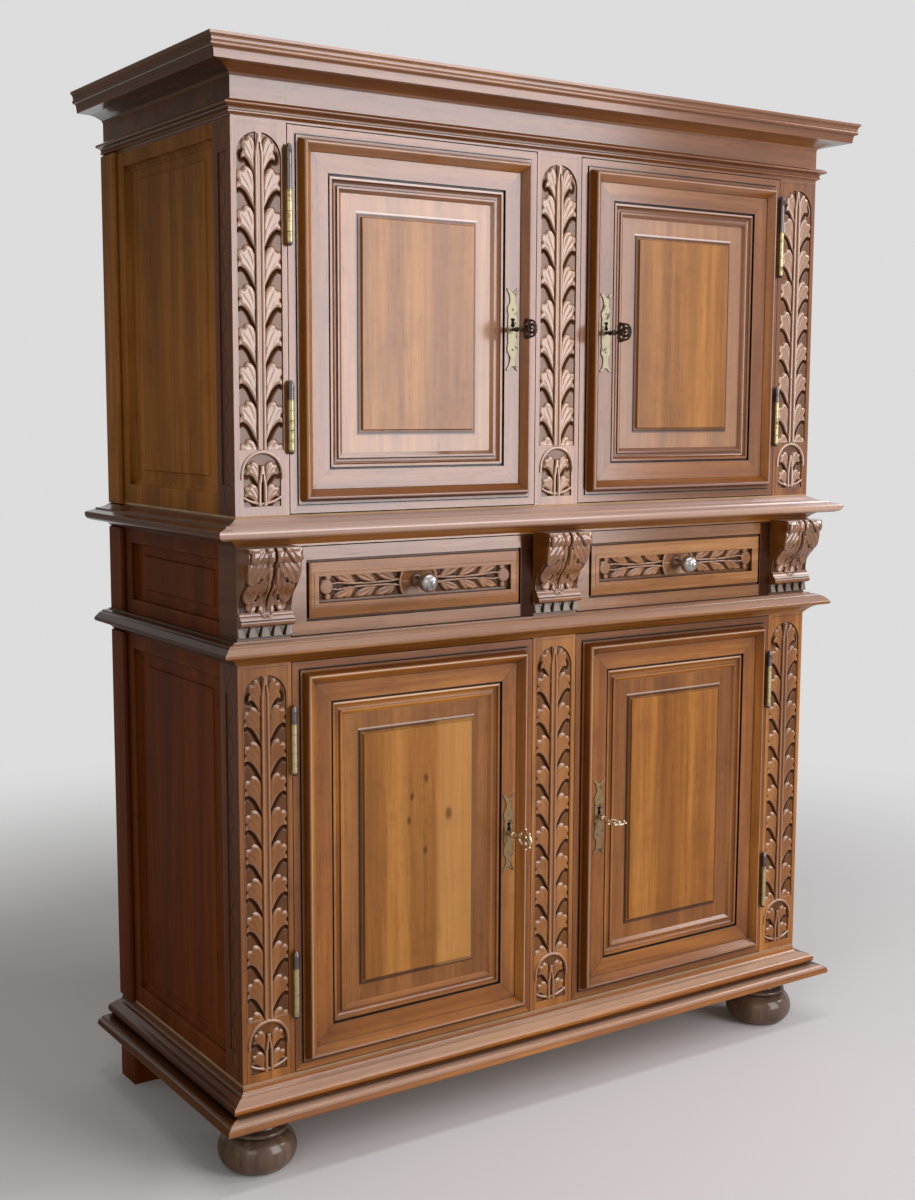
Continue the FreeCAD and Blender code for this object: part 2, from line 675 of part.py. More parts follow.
def side_panel(name, opening, moulding, margin):
    """A board behind the opening, with a raised field bevelled all round."""
    face = f"(-{HALF} + Sizes.side_sink)"
    plate = box_between(f"{name}_plate", (face, f"{face} + Sizes.side_panel"), *opening)
    inset_y = f"(Sizes.{moulding} + Sizes.{margin}_across)"
    inset_z = f"(Sizes.{moulding} + Sizes.{margin})"
    (y_low, y_high), (z_low, z_high) = opening
    field = doc.addObject("Part::Wedge", f"{name}_field")
    turn = FreeCAD.Rotation(FreeCAD.Vector(0, 1, 0), FreeCAD.Vector(-1, 0, 0))
    field.Placement = FreeCAD.Placement(FreeCAD.Vector(), turn)
    wide = f"({y_high} - {y_low} - 2 * {inset_y})"
    tall = f"({z_high} - {z_low} - 2 * {inset_z})"
    wedge_sizes(field, wide, tall, "Sizes.side_field_rise", "Sizes.field_bevel")
    place(field, face, f"{y_low} + {inset_y}", f"{z_low} + {inset_z}")
    return fuse(name, plate, field)


def wedge_sizes(wedge, wide, tall, rise, bevel):
    """A raised field: its back is the full size, and its face is smaller by the bevel."""
    wedge.Xmin = wedge.Ymin = wedge.Zmin = 0
    bind(wedge, Xmax=wide, Ymax=rise, Zmax=tall, X2min=bevel, X2max=f"{wide} - {bevel}")
    bind(wedge, Z2min=bevel, Z2max=f"{tall} - {bevel}")


def side_moulding(name, opening, moulding):
    (y_low, y_high), (z_low, z_high) = opening
    sink = size("side_sink")
    points = [(0, -sink), (size(moulding), -sink)]
    points += numbers(SIDE_FACE_SHARES, size(moulding), sink)
    across, tall = value(y_high) - value(y_low), value(z_high) - value(z_low)
    bars = frame_bars(
        points, FreeCAD.Vector(), FreeCAD.Vector(0, -1, 0), FreeCAD.Vector(0, 0, 1), across, tall
    )
    corner = (-value(HALF), value(y_high), value(z_low))
    return [feature(f"{name}_{index + 1}", bar, corner) for index, bar in enumerate(bars)]


def build_belt():
    post_back = f"({FRONT} + Sizes.post_depth)"
    bottom = full_width("belt_bottom_rail", (FRONT, post_back), (Z_BELT_RAIL, Z_BELT))
    top = full_width("belt_top_rail", (FRONT, post_back), (Z_WAIST_RAIL, Z_UPPER_FLOOR))
    between = (Z_BELT, Z_WAIST_RAIL)
    left = box_between(
        "belt_left_post", (f"-{HALF}", f"-{STILE_EDGE}"), (FRONT, post_back), between
    )
    centre = box_between(
        "belt_centre_post", (f"-{HALF_CENTRE}", HALF_CENTRE), (FRONT, post_back), between
    )
    right = mirror("belt_right_post", left)
    node("belt_frame", group("belt_frame", bottom, top, left, centre, right))


def build_runners():
    level = (f"{Z_RUNNER} - Sizes.board", Z_RUNNER)
    post_back = f"({FRONT} + Sizes.post_depth)"
    back = f"({BACK} - Sizes.back_board)"
    inner = f"({HALF} - Sizes.side_thickness)"
    side_out = f"({DOOR_OUTER} - Sizes.drawer_side_inset + Sizes.slide_play)"
    side_in = f"({DOOR_INNER} + Sizes.drawer_side_inset - Sizes.slide_play)"
    runner = box_between(
        "outer_runner", (f"-{inner}", f"-{inner} + Sizes.runner_width"), (post_back, back), level
    )
    middle_x = (f"-{DOOR_INNER} - Sizes.board", f"{DOOR_INNER} + Sizes.board")
    middle = box_between("centre_runner", middle_x, (post_back, back), level)
    guide_level = (Z_RUNNER, f"{Z_RUNNER} + Sizes.guide_height")
    guide = box_between("outer_guide", (f"-{inner}", f"-{side_out}"), (post_back, back), guide_level)
    middle_guide = box_between(
        "centre_guide", (f"-{side_in}", side_in), (post_back, back), guide_level
    )
    right_runner, right_guide = mirror("right_runner", runner), mirror("right_guide", guide)
    pieces = (runner, right_runner, middle, guide, right_guide, middle_guide)
    node("drawer_runners", group("drawer_runners", *pieces))


def build_shelves():
    pieces = []
    inner = f"({HALF} - Sizes.side_thickness)"
    back = f"({BACK} - Sizes.back_board)"
    post_back = f"({FRONT} + Sizes.post_depth)"
    for stage, low, high in (
        ("lower", Z_LOWER_SILL, Z_BELT_RAIL),
        ("upper", Z_UPPER_SILL, Z_LINTEL),
    ):
        level = f"({low} + ({high} - {low}) * {BATTEN_LEVEL_SHARE})"
        span = (f"{FRONT} + Sizes.shelf_setback", back)
        shelf_z = (level, f"{level} + Sizes.board")
        pieces.append(box_between(f"{stage}_shelf", (f"-{inner}", inner), span, shelf_z))
        batten_z = (f"{level} - Sizes.batten", level)
        batten_x = (f"-{inner}", f"-{inner} + Sizes.batten_width")
        batten = box_between(f"{stage}_batten", batten_x, (post_back, back), batten_z)
        pieces += [batten, mirror(f"{stage}_right_batten", batten)]
    node("shelves", group("shelves", *pieces))


# Pilasters

def pilaster_fields(width, height):
    """Two halves of the sunk field beside the stem, and the arched recess at the foot."""
    edge = f"({width} / 2 - Sizes.pilaster_inset)"
    stem = "(Sizes.stem_width / 2)"
    foot = "Sizes.pilaster_foot"
    arch = "Sizes.lunette_height"
    top = f"({height} - Sizes.pilaster_head)"
    shoulder = f"({top} - {edge})"
    spring = f"({foot} + {arch} + Sizes.lunette_band)"
    inner = f"({edge} - Sizes.lunette_band)"
    right = [
        (stem, spring), (edge, spring), (edge, shoulder), (-0.2, stem, top),
    ]
    left = [
        (f"-{edge}", spring), (f"-{stem}", spring), (f"-{stem}", top),
        (-0.2, f"-{edge}", shoulder),
    ]
    lunette = [
        (f"-{inner}", foot), (inner, foot), (inner, f"{foot} + {arch} - {inner}"),
        (SEMICIRCLE_SHARE, f"-{inner}", f"{foot} + {arch} - {inner}"),
    ]
    return right, left, lunette


def pilaster(name, middle, width, depth, low, high):
    body = begin_body(name)
    height = f"({high} - {low})"
    sides = rectangle((f"-{width} / 2", f"{width} / 2"), ("0", height))
    pad(body, draw(body, "XZ_Plane", sides), depth, reverse=True)
    fields = draw(body, "XZ_Plane", *pilaster_fields(width, height))
    pocket(body, fields, "Sizes.pilaster_sink")
    return place(body, middle, FRONT, low)


def build_pilasters():
    for stage, low, high in (
        ("lower", Z_LOWER_SILL, Z_BELT_RAIL),
        ("upper", Z_UPPER_SILL, Z_LINTEL),
    ):
        middle = f"-{HALF} + Sizes.stile_width / 2"
        width = "Sizes.stile_width"
        post = pilaster(f"{stage}_post", middle, width, "Sizes.post_depth", low, high)
        strip_x = (f"-{HALF} - Sizes.overrun", f"-{HALF} + Sizes.side_strip_sink")
        strip_y = (
            f"{FRONT} + Sizes.side_strip_start",
            f"{FRONT} + Sizes.side_strip_start + Sizes.side_strip_width",
        )
        strip_z = (f"{low} + Sizes.side_strip_end", f"{high} - Sizes.side_strip_end")
        strip = box_between(f"{stage}_post_strip", strip_x, strip_y, strip_z)
        recesses = [leaf_recess(f"{stage}_post_recess_{end}", stage, end, 1) for end in (0, 1)]
        cut_post = cut(f"{stage}_left_pilaster_cut", post, strip, *recesses)
        node_pair(f"{stage}_{{side}}_pilaster", cut_post)
        centre = pilaster(
            f"{stage}_centre", "0", "Sizes.centre_width", "Sizes.stile_depth", low, high
        )
        mortise = bolt_space(f"{stage}_mortise", stage)
        cut_centre = cut(
            f"{stage}_centre_cut", centre, mortise, mirror(f"{stage}_right_mortise", mortise)
        )
        node(f"{stage}_centre_pilaster", cut_centre)


# Doors: places that several pieces share

def door_span(stage):
    low = Z_LOWER_DOOR if stage == "lower" else Z_UPPER_DOOR
    return low, f"({low} + Sizes.{stage}_door_height)"


def key_level(stage):
    low, _ = door_span(stage)
    return f"({low} + Sizes.{stage}_door_height / 2)"


KEY_X = f"({DOOR_INNER} + Sizes.flat_band_centre)"
BARREL_X = f"({DOOR_OUTER} + Sizes.door_gap / 2)"
BARREL_Y = f"({FRONT} - Sizes.barrel_standoff)"
LOCK_FACE = f"({FRONT} + Sizes.lock_setback)"


def hinge_span(stage, end):
    """The barrel's height: end 0 is the lower hinge of a door, end 1 the upper."""
    low, high = door_span(stage)
    if end:
        top = f"({high} - Sizes.hinge_inset)"
        return f"({top} - Sizes.hinge_height)", top
    bottom = f"({low} + Sizes.hinge_inset)"
    return bottom, f"({bottom} + Sizes.hinge_height)"


def leaf_x(on_post):
    """A leaf lies in the post's edge or in the door's, flush with it."""
    if on_post:
        return f"-{STILE_EDGE} - Sizes.leaf", f"-{STILE_EDGE}"
    return f"-{DOOR_OUTER}", f"-{DOOR_OUTER} + Sizes.leaf"


def leaf_recess(name, stage, end, on_post):
    y = (f"{FRONT} - Sizes.overrun", f"{FRONT} + Sizes.leaf_depth")
    x_low, x_high = leaf_x(on_post)
    if on_post:
        x_high = f"{x_high} + Sizes.overrun"
    else:
        x_low = f"{x_low} - Sizes.overrun"
    return box_between(name, (x_low, x_high), y, hinge_span(stage, end))


def bolt_level(stage, play="0"):
    low = f"({key_level(stage)} + Sizes.bit_reach + Sizes.bit_clearance - {play})"
    return low, f"({low} + Sizes.bolt_height + 2 * {play})"


def bolt_depth(play="0"):
    middle = f"({LOCK_FACE} + Sizes.lock_thickness / 2)"
    half = f"(Sizes.bolt_thickness / 2 + {play})"
    return f"{middle} - {half}", f"{middle} + {half}"


def bolt_space(name, stage):
    """The mortise in the centre stile that the thrown bolt enters, from the left."""
    play = "Sizes.mortise_play"
    x = (f"-{HALF_CENTRE} - Sizes.overrun", f"-{HALF_CENTRE} + Sizes.bolt_throw + {play}")
    return box_between(name, x, bolt_depth(play), bolt_level(stage, play))


# Doors

def door_points():
    wide, thick, crest = size("frame_width"), size("door_thickness"), size("frame_crest")
    sight = -size("panel_sink")
    lip = sight - size("groove_lip")
    tongue = lip - size("tongue")
    depth = wide - size("groove_depth")
    back = [(0, -thick), (wide, -thick), (wide, tongue), (depth, tongue), (depth, lip)]
    back += [(wide, lip), (wide, sight)]
    return back + numbers(DOOR_FACE_SHARES, wide, crest)


def door_frame(stage):
    across, tall = value(DOOR_WIDTH), size(f"{stage}_door_height")
    bars = frame_bars(
        door_points(), FreeCAD.Vector(), FreeCAD.Vector(1, 0, 0), FreeCAD.Vector(0, 0, 1),
        across, tall,
    )
    low, _ = door_span(stage)
    corner = (-value(DOOR_OUTER), value(FRONT), value(low))
    bottom, closing, top, hanging = (
        feature(f"{stage}_door_{name}", bar, corner)
        for name, bar in zip(("bottom", "closing", "top", "hanging"), bars)
    )
    recesses = [leaf_recess(f"{stage}_door_recess_{end}", stage, end, 0) for end in (0, 1)]
    hanging = cut(f"{stage}_hanging_stile", hanging, *recesses)
    level = key_level(stage)
    half_lock = "Sizes.lock_height / 2"
    mortise = box_between(
        f"{stage}_lock_mortise",
        (f"-{DOOR_INNER} - Sizes.lock_length", f"-{DOOR_INNER} + Sizes.overrun"),
        (LOCK_FACE, f"{LOCK_FACE} + Sizes.lock_thickness"),
        (f"{level} - {half_lock}", f"{level} + {half_lock}"),
    )
    way = keyway(f"{stage}_keyway", stage, "Sizes.keyway_play", LOCK_FACE)
    closing = cut(f"{stage}_closing_stile", closing, mortise, *way)
    members = (bottom, closing, top, hanging)
    node_pair(f"{stage}_{{side}}_door_frame", group(f"{stage}_door_frame", *members))


def keyway(name, stage, play, to):
    """A round hole with a slot below it, from in front of the door to a depth."""
    start = f"({FRONT} - Sizes.frame_crest)"
    radius = f"(Sizes.key_radius + {play})"
    level = key_level(stage)
    hole = rod(f"{name}_hole", (f"-{KEY_X}", start, level), radius, f"{to} - {start}", (0, 1, 0))
    half = f"(Sizes.bit_width / 2 + {play})"
    slot = box_between(
        f"{name}_slot", (f"-{KEY_X} - {half}", f"-{KEY_X} + {half}"), (start, to),
        (f"{level} - Sizes.bit_reach - {play}", level),
    )
    return hole, slot


def door_panel(stage):
    low, high = door_span(stage)
    sight = "Sizes.frame_width"
    face = f"({FRONT} + Sizes.panel_sink)"
    back = f"({face} + Sizes.groove_lip + Sizes.tongue)"

    def inset_box(name, inset, y):
        x = (f"-{DOOR_OUTER} + {inset}", f"-{DOOR_INNER} - {inset}")
        return box_between(name, x, y, (f"{low} + {inset}", f"{high} - {inset}"))

    plate = inset_box(f"{stage}_panel_plate", sight, (face, back))
    edge = f"({sight} - Sizes.groove_depth + Sizes.panel_play)"
    tongue = inset_box(f"{stage}_panel_tongue", edge, (f"{face} + Sizes.groove_lip", back))
    fillet_inset = f"({sight} + Sizes.panel_margin)"
    fillet = inset_box(
        f"{stage}_panel_fillet", fillet_inset, (f"{face} - Sizes.panel_fillet_rise", face)
    )
    inset = f"({fillet_inset} + Sizes.panel_fillet)"
    field = doc.addObject("Part::Wedge", f"{stage}_panel_field")
    turn = FreeCAD.Rotation(FreeCAD.Vector(0, 0, 1), 180)
    field.Placement = FreeCAD.Placement(FreeCAD.Vector(), turn)
    wide = f"({DOOR_WIDTH} - 2 * {inset})"
    tall = f"({high} - {low} - 2 * {inset})"
    wedge_sizes(field, wide, tall, "Sizes.field_rise", "Sizes.field_bevel")
    place(field, f"-{DOOR_INNER} - {inset}", face, f"{low} + {inset}")
    panel = fuse(f"{stage}_door_panel", plate, tongue, fillet, field)
    node_pair(f"{stage}_{{side}}_door_panel", panel)


def escutcheon(stage):
    body = begin_body(f"{stage}_plate")
    loop = scaled(symmetric(PLATE_SHARES), "Sizes.plate_width / 2", "Sizes.plate_height / 2")
    pad(body, draw(body, "XZ_Plane", loop), "Sizes.plate_thickness")
    level = key_level(stage)
    place(body, f"-{KEY_X}", f"{FRONT} - Sizes.flat_band_level", level)
    start = f"({FRONT} - Sizes.frame_crest)"
    hole = rod(
        f"{stage}_plate_hole", (f"-{KEY_X}", start, level), "Sizes.keyhole_radius",
        "Sizes.frame_crest", (0, 1, 0),
    )
    half = "Sizes.keyhole_radius / 2"
    slot = box_between(
        f"{stage}_plate_slot", (f"-{KEY_X} - {half}", f"-{KEY_X} + {half}"), (start, FRONT),
        (f"{level} - Sizes.bit_reach - Sizes.keyway_play", level),
    )
    node_pair(f"{stage}_{{side}}_escutcheon", cut(f"{stage}_escutcheon", body, hole, slot))


def lock(stage):
    level = key_level(stage)
    half = "Sizes.lock_height / 2"
    wall = "Sizes.lock_wall"
    x = (f"-{DOOR_INNER} - Sizes.lock_length", f"-{DOOR_INNER}")
    y = (LOCK_FACE, f"{LOCK_FACE} + Sizes.lock_thickness")
    z = (f"{level} - {half}", f"{level} + {half}")
    outer = box_between(f"{stage}_lock_outer", x, y, z)
    inside = [(f"{low} + {wall}", f"{high} - {wall}") for low, high in (x, y, z)]
    inner = box_between(f"{stage}_lock_inner", *inside)
    play = "Sizes.bolt_play"
    mouth = box_between(
        f"{stage}_lock_mouth", (f"-{DOOR_INNER} - 2 * {wall}", f"-{DOOR_INNER} + Sizes.overrun"),
        bolt_depth(play), bolt_level(stage, play),
    )
    bore = rod(
        f"{stage}_lock_bore", (f"-{KEY_X}", f"{LOCK_FACE} - Sizes.overrun", level),
        "Sizes.key_radius + Sizes.running_fit", "Sizes.lock_thickness + 2 * Sizes.overrun",
        (0, 1, 0),
    )
    _, slot = keyway(f"{stage}_lock_way", stage, play, f"{LOCK_FACE} + 2 * {wall}")
    case = cut(f"{stage}_lock_case", outer, inner, mouth, bore, slot)
    node_pair(f"{stage}_{{side}}_lock_case", case)
    bolt_x = (f"-{DOOR_INNER} - {play} - Sizes.bolt_length", f"-{DOOR_INNER} - {play}")
    bolt = box_between(f"{stage}_bolt", bolt_x, bolt_depth(), bolt_level(stage))
    node_pair(f"{stage}_{{side}}_lock_bolt", bolt)


def key_shaft(name):
    """The shaft with its rings, turned about Y. It ends in the back of the lock."""
    radius, standoff = "Sizes.key_radius", "Sizes.key_standoff"
    tip = f"-({standoff} + Sizes.bow_lobe * {BOW_LOBE_SHARE})"
    inner = "(Sizes.lock_setback + Sizes.lock_thickness)"
    loop = [("0", tip), (radius, tip)]
    for outside, inside, bulge in KEY_RING_SHARES:
        loop += [(radius, f"-{standoff} * {outside}"), (bulge, radius, f"-{standoff} * {inside}")]
    return turned_body(f"{name}_shaft", "XY_Plane", loop + [(radius, inner), ("0", inner)])


def key_bow(name):
    """Three flat lobes, each pierced."""
    standoff, lobe, length = "Sizes.key_standoff", "Sizes.bow_lobe", "Sizes.bow_length"
    near = f"-{standoff} - {lobe} * {BOW_NEAR_SHARE}"
    far = f"-{standoff} - {length} + {lobe}"
    side = f"{lobe} * {BOW_LOBE_SHARE}"
    start = "-Sizes.bow_thickness / 2"
    lobes, holes = [], []
    for index, (along, up) in enumerate(((near, side), (near, f"-{side}"), (far, "0"))):
        middle = (start, along, up)
        for kind, radius, found in (("lobe", lobe, lobes), ("hole", "Sizes.bow_hole", holes)):
            disc = rod(f"{name}_{kind}_{index}", middle, radius, "Sizes.bow_thickness", (1, 0, 0))
            found.append(disc)
    return cut(f"{name}_bow", fuse(f"{name}_lobes", *lobes), *holes)


def build_keys():
    """Each key stands in its lock. The lower right one has been turned, and its bow lies flat."""
    for stage in ("lower", "upper"):
        for side, x in (("left", f"-{KEY_X}"), ("right", KEY_X)):
            name = f"{stage}_{side}_key"
            half, middle = "Sizes.bit_width / 2", "(Sizes.lock_setback + Sizes.lock_thickness / 2)"
            bit_y = (f"{middle} - Sizes.bit_length / 2", f"{middle} + Sizes.bit_length / 2")
            bit = box_between(f"{name}_bit", (f"-{half}", half), bit_y, ("-Sizes.bit_reach", "0"))
            whole = fuse(f"{name}_whole", key_shaft(name), key_bow(name), bit)
            turned = 90 if (stage, side) == ("lower", "right") else 0
            turn = FreeCAD.Rotation(FreeCAD.Vector(0, 1, 0), turned)
            whole.Placement = FreeCAD.Placement(FreeCAD.Vector(), turn)
            node(name, place(whole, x, FRONT, key_level(stage)))


# Hinges

def hinge_half(name, stage, end, on_post):
    """A leaf with its knuckles: the post has every other one, from the lowest."""
    low, high = hinge_span(stage, end)
    reach = f"({BARREL_Y} + Sizes.barrel_radius + Sizes.knuckle_gap)"
    plate = box_between(
        f"{name}_plate", leaf_x(on_post), (reach, f"{FRONT} + Sizes.leaf_depth"), (low, high)
    )
    members = [plate]
    pitch = f"(Sizes.hinge_height / {KNUCKLES})"
    for index in range(0 if on_post else 1, KNUCKLES, 2):
        last = index == KNUCKLES - 1
        start = f"({low} + {pitch} * {index})"
        length = pitch if last else f"({pitch} - Sizes.knuckle_gap)"
        barrel = rod(
            f"{name}_knuckle_{index}", (f"-{BARREL_X}", BARREL_Y, start),
            "Sizes.barrel_radius", length, (0, 0, 1),
        )
        tab = box_between(
            f"{name}_tab_{index}", leaf_x(on_post), (BARREL_Y, reach),
            (start, f"{start} + {length}"),
        )
        members += [barrel, tab]
    bore = rod(
        f"{name}_bore", (f"-{BARREL_X}", BARREL_Y, f"{low} - Sizes.overrun"),
        "Sizes.pin_radius + Sizes.running_fit", "Sizes.hinge_height + 2 * Sizes.overrun", (0, 0, 1),
    )
    return cut(name, fuse(f"{name}_whole", *members), bore)


def hinge_pin(name, stage, end):
    """A pin with a round foot and a bullet finial. A top hinge has a sleeve under it."""
    barrel, pin, tall = "Sizes.barrel_radius", "Sizes.pin_radius", "Sizes.hinge_height"
    sleeved = stage == "upper" and end == 1
    top = f"({tall} + Sizes.sleeve)" if sleeved else tall
    shoulder, swell, point = FINIAL_SHARES
    flat, summit = f"{barrel} * {point}", f"{top} + Sizes.finial"
    loop = [
        ("0", f"-{barrel}"), (flat, f"-{barrel}"), (swell, barrel, "0"), (pin, "0"),
        (pin, tall), (barrel, tall), (barrel, f"{top} + Sizes.finial * {shoulder}"),
        (swell, flat, summit), ("0", summit),
    ]
    body = turned_body(name, "XZ_Plane", loop)
    return place(body, f"-{BARREL_X}", BARREL_Y, hinge_span(stage, end)[0])


def build_hinges():
    leaves, pins = [], []
    for stage in ("lower", "upper"):
        moving = []
        for end in (0, 1):
            name = f"{stage}_hinge_{end}"
            leaves.append(hinge_half(f"{name}_post_leaf", stage, end, True))
            moving.append(hinge_half(f"{name}_door_leaf", stage, end, False))
            pins.append(hinge_pin(f"{name}_pin", stage, end))
        knuckles = group(f"{stage}_hinge_knuckles", *moving)
        node_pair(f"{stage}_{{side}}_hinge_knuckles", knuckles)
    for name, pieces in (("hinge_leaves", leaves), ("hinge_pins", pins)):
        left = group(f"{name}_left", *pieces)
        node(name, group(name, left, mirror(f"{name}_right", left)))


# Drawers

def build_drawers():
    back = f"({FRONT} + Sizes.drawer_thickness)"
    high = f"({Z_DRAWER} + {DRAWER_HEIGHT})"
    middle_x = f"(-({DOOR_OUTER} + {DOOR_INNER}) / 2)"
    middle_z = f"({Z_DRAWER} + {DRAWER_HEIGHT} / 2)"

    def inset_box(name, across, up, y):
        x = (f"-{DOOR_OUTER} + {across}", f"-{DOOR_INNER} - {across}")
        return box_between(name, x, y, (f"{Z_DRAWER} + {up}", f"{high} - {up}"))

    board = inset_box("drawer_board", "0", "0", (FRONT, back))
    across, up = "Sizes.drawer_margin_across", "Sizes.drawer_margin_up"
    inner_across, inner_up = (f"({inset} + Sizes.drawer_groove)" for inset in (across, up))
    sunk = (f"{FRONT} - Sizes.overrun", f"{FRONT} + Sizes.drawer_groove_depth")
    outline = inset_box("drawer_groove_outside", across, up, sunk)
    island = inset_box("drawer_groove_inside", inner_across, inner_up, sunk)
    raised = inset_box(
        "drawer_raised", inner_across, inner_up, (f"{FRONT} - Sizes.drawer_raise", FRONT)
    )
    band_x = (f"-{DOOR_OUTER} + Sizes.band_inset", f"-{DOOR_INNER} - Sizes.band_inset")
    band_y = (f"{FRONT} - Sizes.drawer_raise - Sizes.overrun", f"{FRONT} + Sizes.band_sink")
    half_band = "Sizes.band_height / 2"
    band = box_between(
        "drawer_band", band_x, band_y, (f"{middle_z} - {half_band}", f"{middle_z} + {half_band}")
    )
    ring = cut("drawer_groove_ring", outline, island)
    face = cut("drawer_face", fuse("drawer_panelled", board, raised), ring, band)
    thick = "(Sizes.boss_rise + Sizes.band_sink)"
    boss = turned_body("drawer_boss", "XY_Plane", scaled(BOSS_SHARES, "Sizes.boss_radius", thick))
    place(boss, middle_x, f"{FRONT} + Sizes.band_sink", middle_z)
    node_pair("{side}_drawer_front", fuse("drawer_front", face, boss))
    knob = turned_body(
        "drawer_knob", "XY_Plane", scaled(KNOB_SHARES, "Sizes.knob_radius", "Sizes.knob_length")
    )
    node_pair("{side}_drawer_knob", place(knob, middle_x, f"{FRONT} - Sizes.boss_rise", middle_z))
    drawer_box(back)


def drawer_box(front):
    """Two sides, a back and a bottom let in between them, behind the front."""
    back = f"({BACK} - Sizes.back_board - Sizes.drawer_back_gap)"
    outer = f"(-{DOOR_OUTER} + Sizes.drawer_side_inset)"
    inner = f"(-{DOOR_INNER} - Sizes.drawer_side_inset)"
    z = (Z_DRAWER, f"{Z_DRAWER} + Sizes.drawer_height")
    side = "Sizes.drawer_side"
    between = (f"{outer} + {side}", f"{inner} - {side}")
    floor_z = (f"{Z_DRAWER} + Sizes.drawer_bottom", f"{Z_DRAWER} + 2 * Sizes.drawer_bottom")
    pieces = (
        box_between("drawer_outer_side", (outer, f"{outer} + {side}"), (front, back), z),
        box_between("drawer_inner_side", (f"{inner} - {side}", inner), (front, back), z),
        box_between("drawer_back", between, (f"{back} - {side}", back), z),
        box_between("drawer_bottom", between, (front, f"{back} - {side}"), floor_z),
    )
    node_pair("{side}_drawer_box", group("drawer_box", *pieces))


# Corbels and feet

def corbel(name, middle):
    """An S-shaped bracket with a groove down its face, over a row of tapered drops."""
    body = begin_body(name)
    shares = flipped(CORBEL_SHARES)
    reach, tall = "Sizes.corbel_reach", "Sizes.belt_height"
    pad(body, draw(body, "YZ_Plane", scaled(shares, reach, tall)), "Sizes.stile_width", both=True)
    curve = [
        (*bulge, f"{across} + Sizes.corbel_groove", up)
        for *bulge, across, up in scaled(shares[CORBEL_CURVE], reach, tall)
    ]
    curve[0] = curve[0][-2:]
    beyond = f"-{reach} * 2"
    curve += [(beyond, curve[-1][-1]), (beyond, curve[0][-1])]
    pocket(body, draw(body, "YZ_Plane", curve), "Sizes.corbel_groove", both=True)
    place(body, middle, FRONT, Z_BELT)
    pitch = f"(Sizes.stile_width / {DROPS})"
    drops = []
    for index in range(DROPS):
        drop = doc.addObject("Part::Wedge", f"{name}_drop_{index}")
        turn = FreeCAD.Rotation(FreeCAD.Vector(1, 0, 0), 90)
        drop.Placement = FreeCAD.Placement(FreeCAD.Vector(), turn)
        wide, top, rise = "Sizes.drop_width", "Sizes.drop_top", "Sizes.drop_rise"
        drop.Xmin = drop.Ymin = drop.Zmin = drop.Z2min = 0
        bind(drop, Xmax=wide, Ymax="Sizes.drop_height", Zmax=rise, Z2max=rise)
        bind(drop, X2min=f"({wide} - {top}) / 2", X2max=f"({wide} + {top}) / 2")
        left = f"{middle} + {pitch} * ({index - (DROPS - 1) / 2}) - {wide} / 2"
        top_level = f"{Z_BELT} + {tall} * {CORBEL_SHARES[0][-1]}"
        drops.append(place(drop, left, FRONT, f"{top_level} - Sizes.drop_height"))
    return fuse(f"{name}_whole", body, *drops)


def build_corbels():
    left = corbel("left_corbel", f"-{HALF} + Sizes.stile_width / 2")
    centre = corbel("centre_corbel", "0")
    node("corbels", group("corbels", left, centre, mirror("right_corbel", left)))


def build_feet():
    foot = turned_body("bun_foot", "XZ_Plane", scaled(FOOT_SHARES, "Sizes.foot_radius", Z_BASE))
    place(foot, f"-{HALF} + Sizes.foot_inset", f"{FRONT} + Sizes.foot_inset")
    node("bun_feet", group("bun_feet", foot, mirror("bun_foot_right", foot)))


def finish():
    doc.recompute()
    for item in doc.Objects:
        if {"Invalid", "Error"} & set(item.State):
            raise RuntimeError(f"{item.Name} failed: {item.State}")
    for name, item in nodes.items():
        if item.Shape.isNull() or not item.Shape.isValid():
            raise RuntimeError(f"{name} has no valid shape")
    os.makedirs("parts", exist_ok=True)
    for name, item in nodes.items():
        item.Shape.exportStep(os.path.join("parts", f"{name}.step"))
        print(name, len(item.Shape.Solids), round(item.Shape.Volume))


def main():
    build_mouldings()
    build_boards()
    build_back()
    build_sides()
    build_belt()
    build_runners()
    build_shelves()
    build_pilasters()
    for stage in ("lower", "upper"):
        door_frame(stage)
        door_panel(stage)
        escutcheon(stage)
        lock(stage)
    build_keys()
    build_hinges()
    build_drawers()
    build_corbels()
    build_feet()
    finish()


main()
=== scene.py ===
"""A carved walnut buffet in two stages: its finishes, carving, fittings, light and camera."""

import math

import bpy
import numpy as np
from bpy.props import FloatProperty, FloatVectorProperty, PointerProperty
from mathutils import Matrix, Vector


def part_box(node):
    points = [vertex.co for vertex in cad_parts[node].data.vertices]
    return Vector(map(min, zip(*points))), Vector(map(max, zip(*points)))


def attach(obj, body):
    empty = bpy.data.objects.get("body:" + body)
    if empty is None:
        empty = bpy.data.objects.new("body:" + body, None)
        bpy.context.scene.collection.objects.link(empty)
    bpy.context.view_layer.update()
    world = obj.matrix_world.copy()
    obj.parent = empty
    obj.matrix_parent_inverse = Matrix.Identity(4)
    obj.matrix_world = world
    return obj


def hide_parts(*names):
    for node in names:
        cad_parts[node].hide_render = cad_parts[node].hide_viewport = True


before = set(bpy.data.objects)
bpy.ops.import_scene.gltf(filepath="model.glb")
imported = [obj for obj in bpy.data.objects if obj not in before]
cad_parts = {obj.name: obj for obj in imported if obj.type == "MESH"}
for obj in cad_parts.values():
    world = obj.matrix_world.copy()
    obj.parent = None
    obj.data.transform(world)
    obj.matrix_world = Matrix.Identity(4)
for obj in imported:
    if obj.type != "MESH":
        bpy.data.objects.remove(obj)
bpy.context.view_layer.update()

bl_info = {
    "name": "Two-stage buffet",
    "version": (1, 0, 0),
    "blender": (4, 5, 0),
    "location": "View3D > Sidebar > Buffet",
    "description": "Carves, finishes and lights a two-stage walnut buffet",
    "category": "Object",
}

MM = 0.001

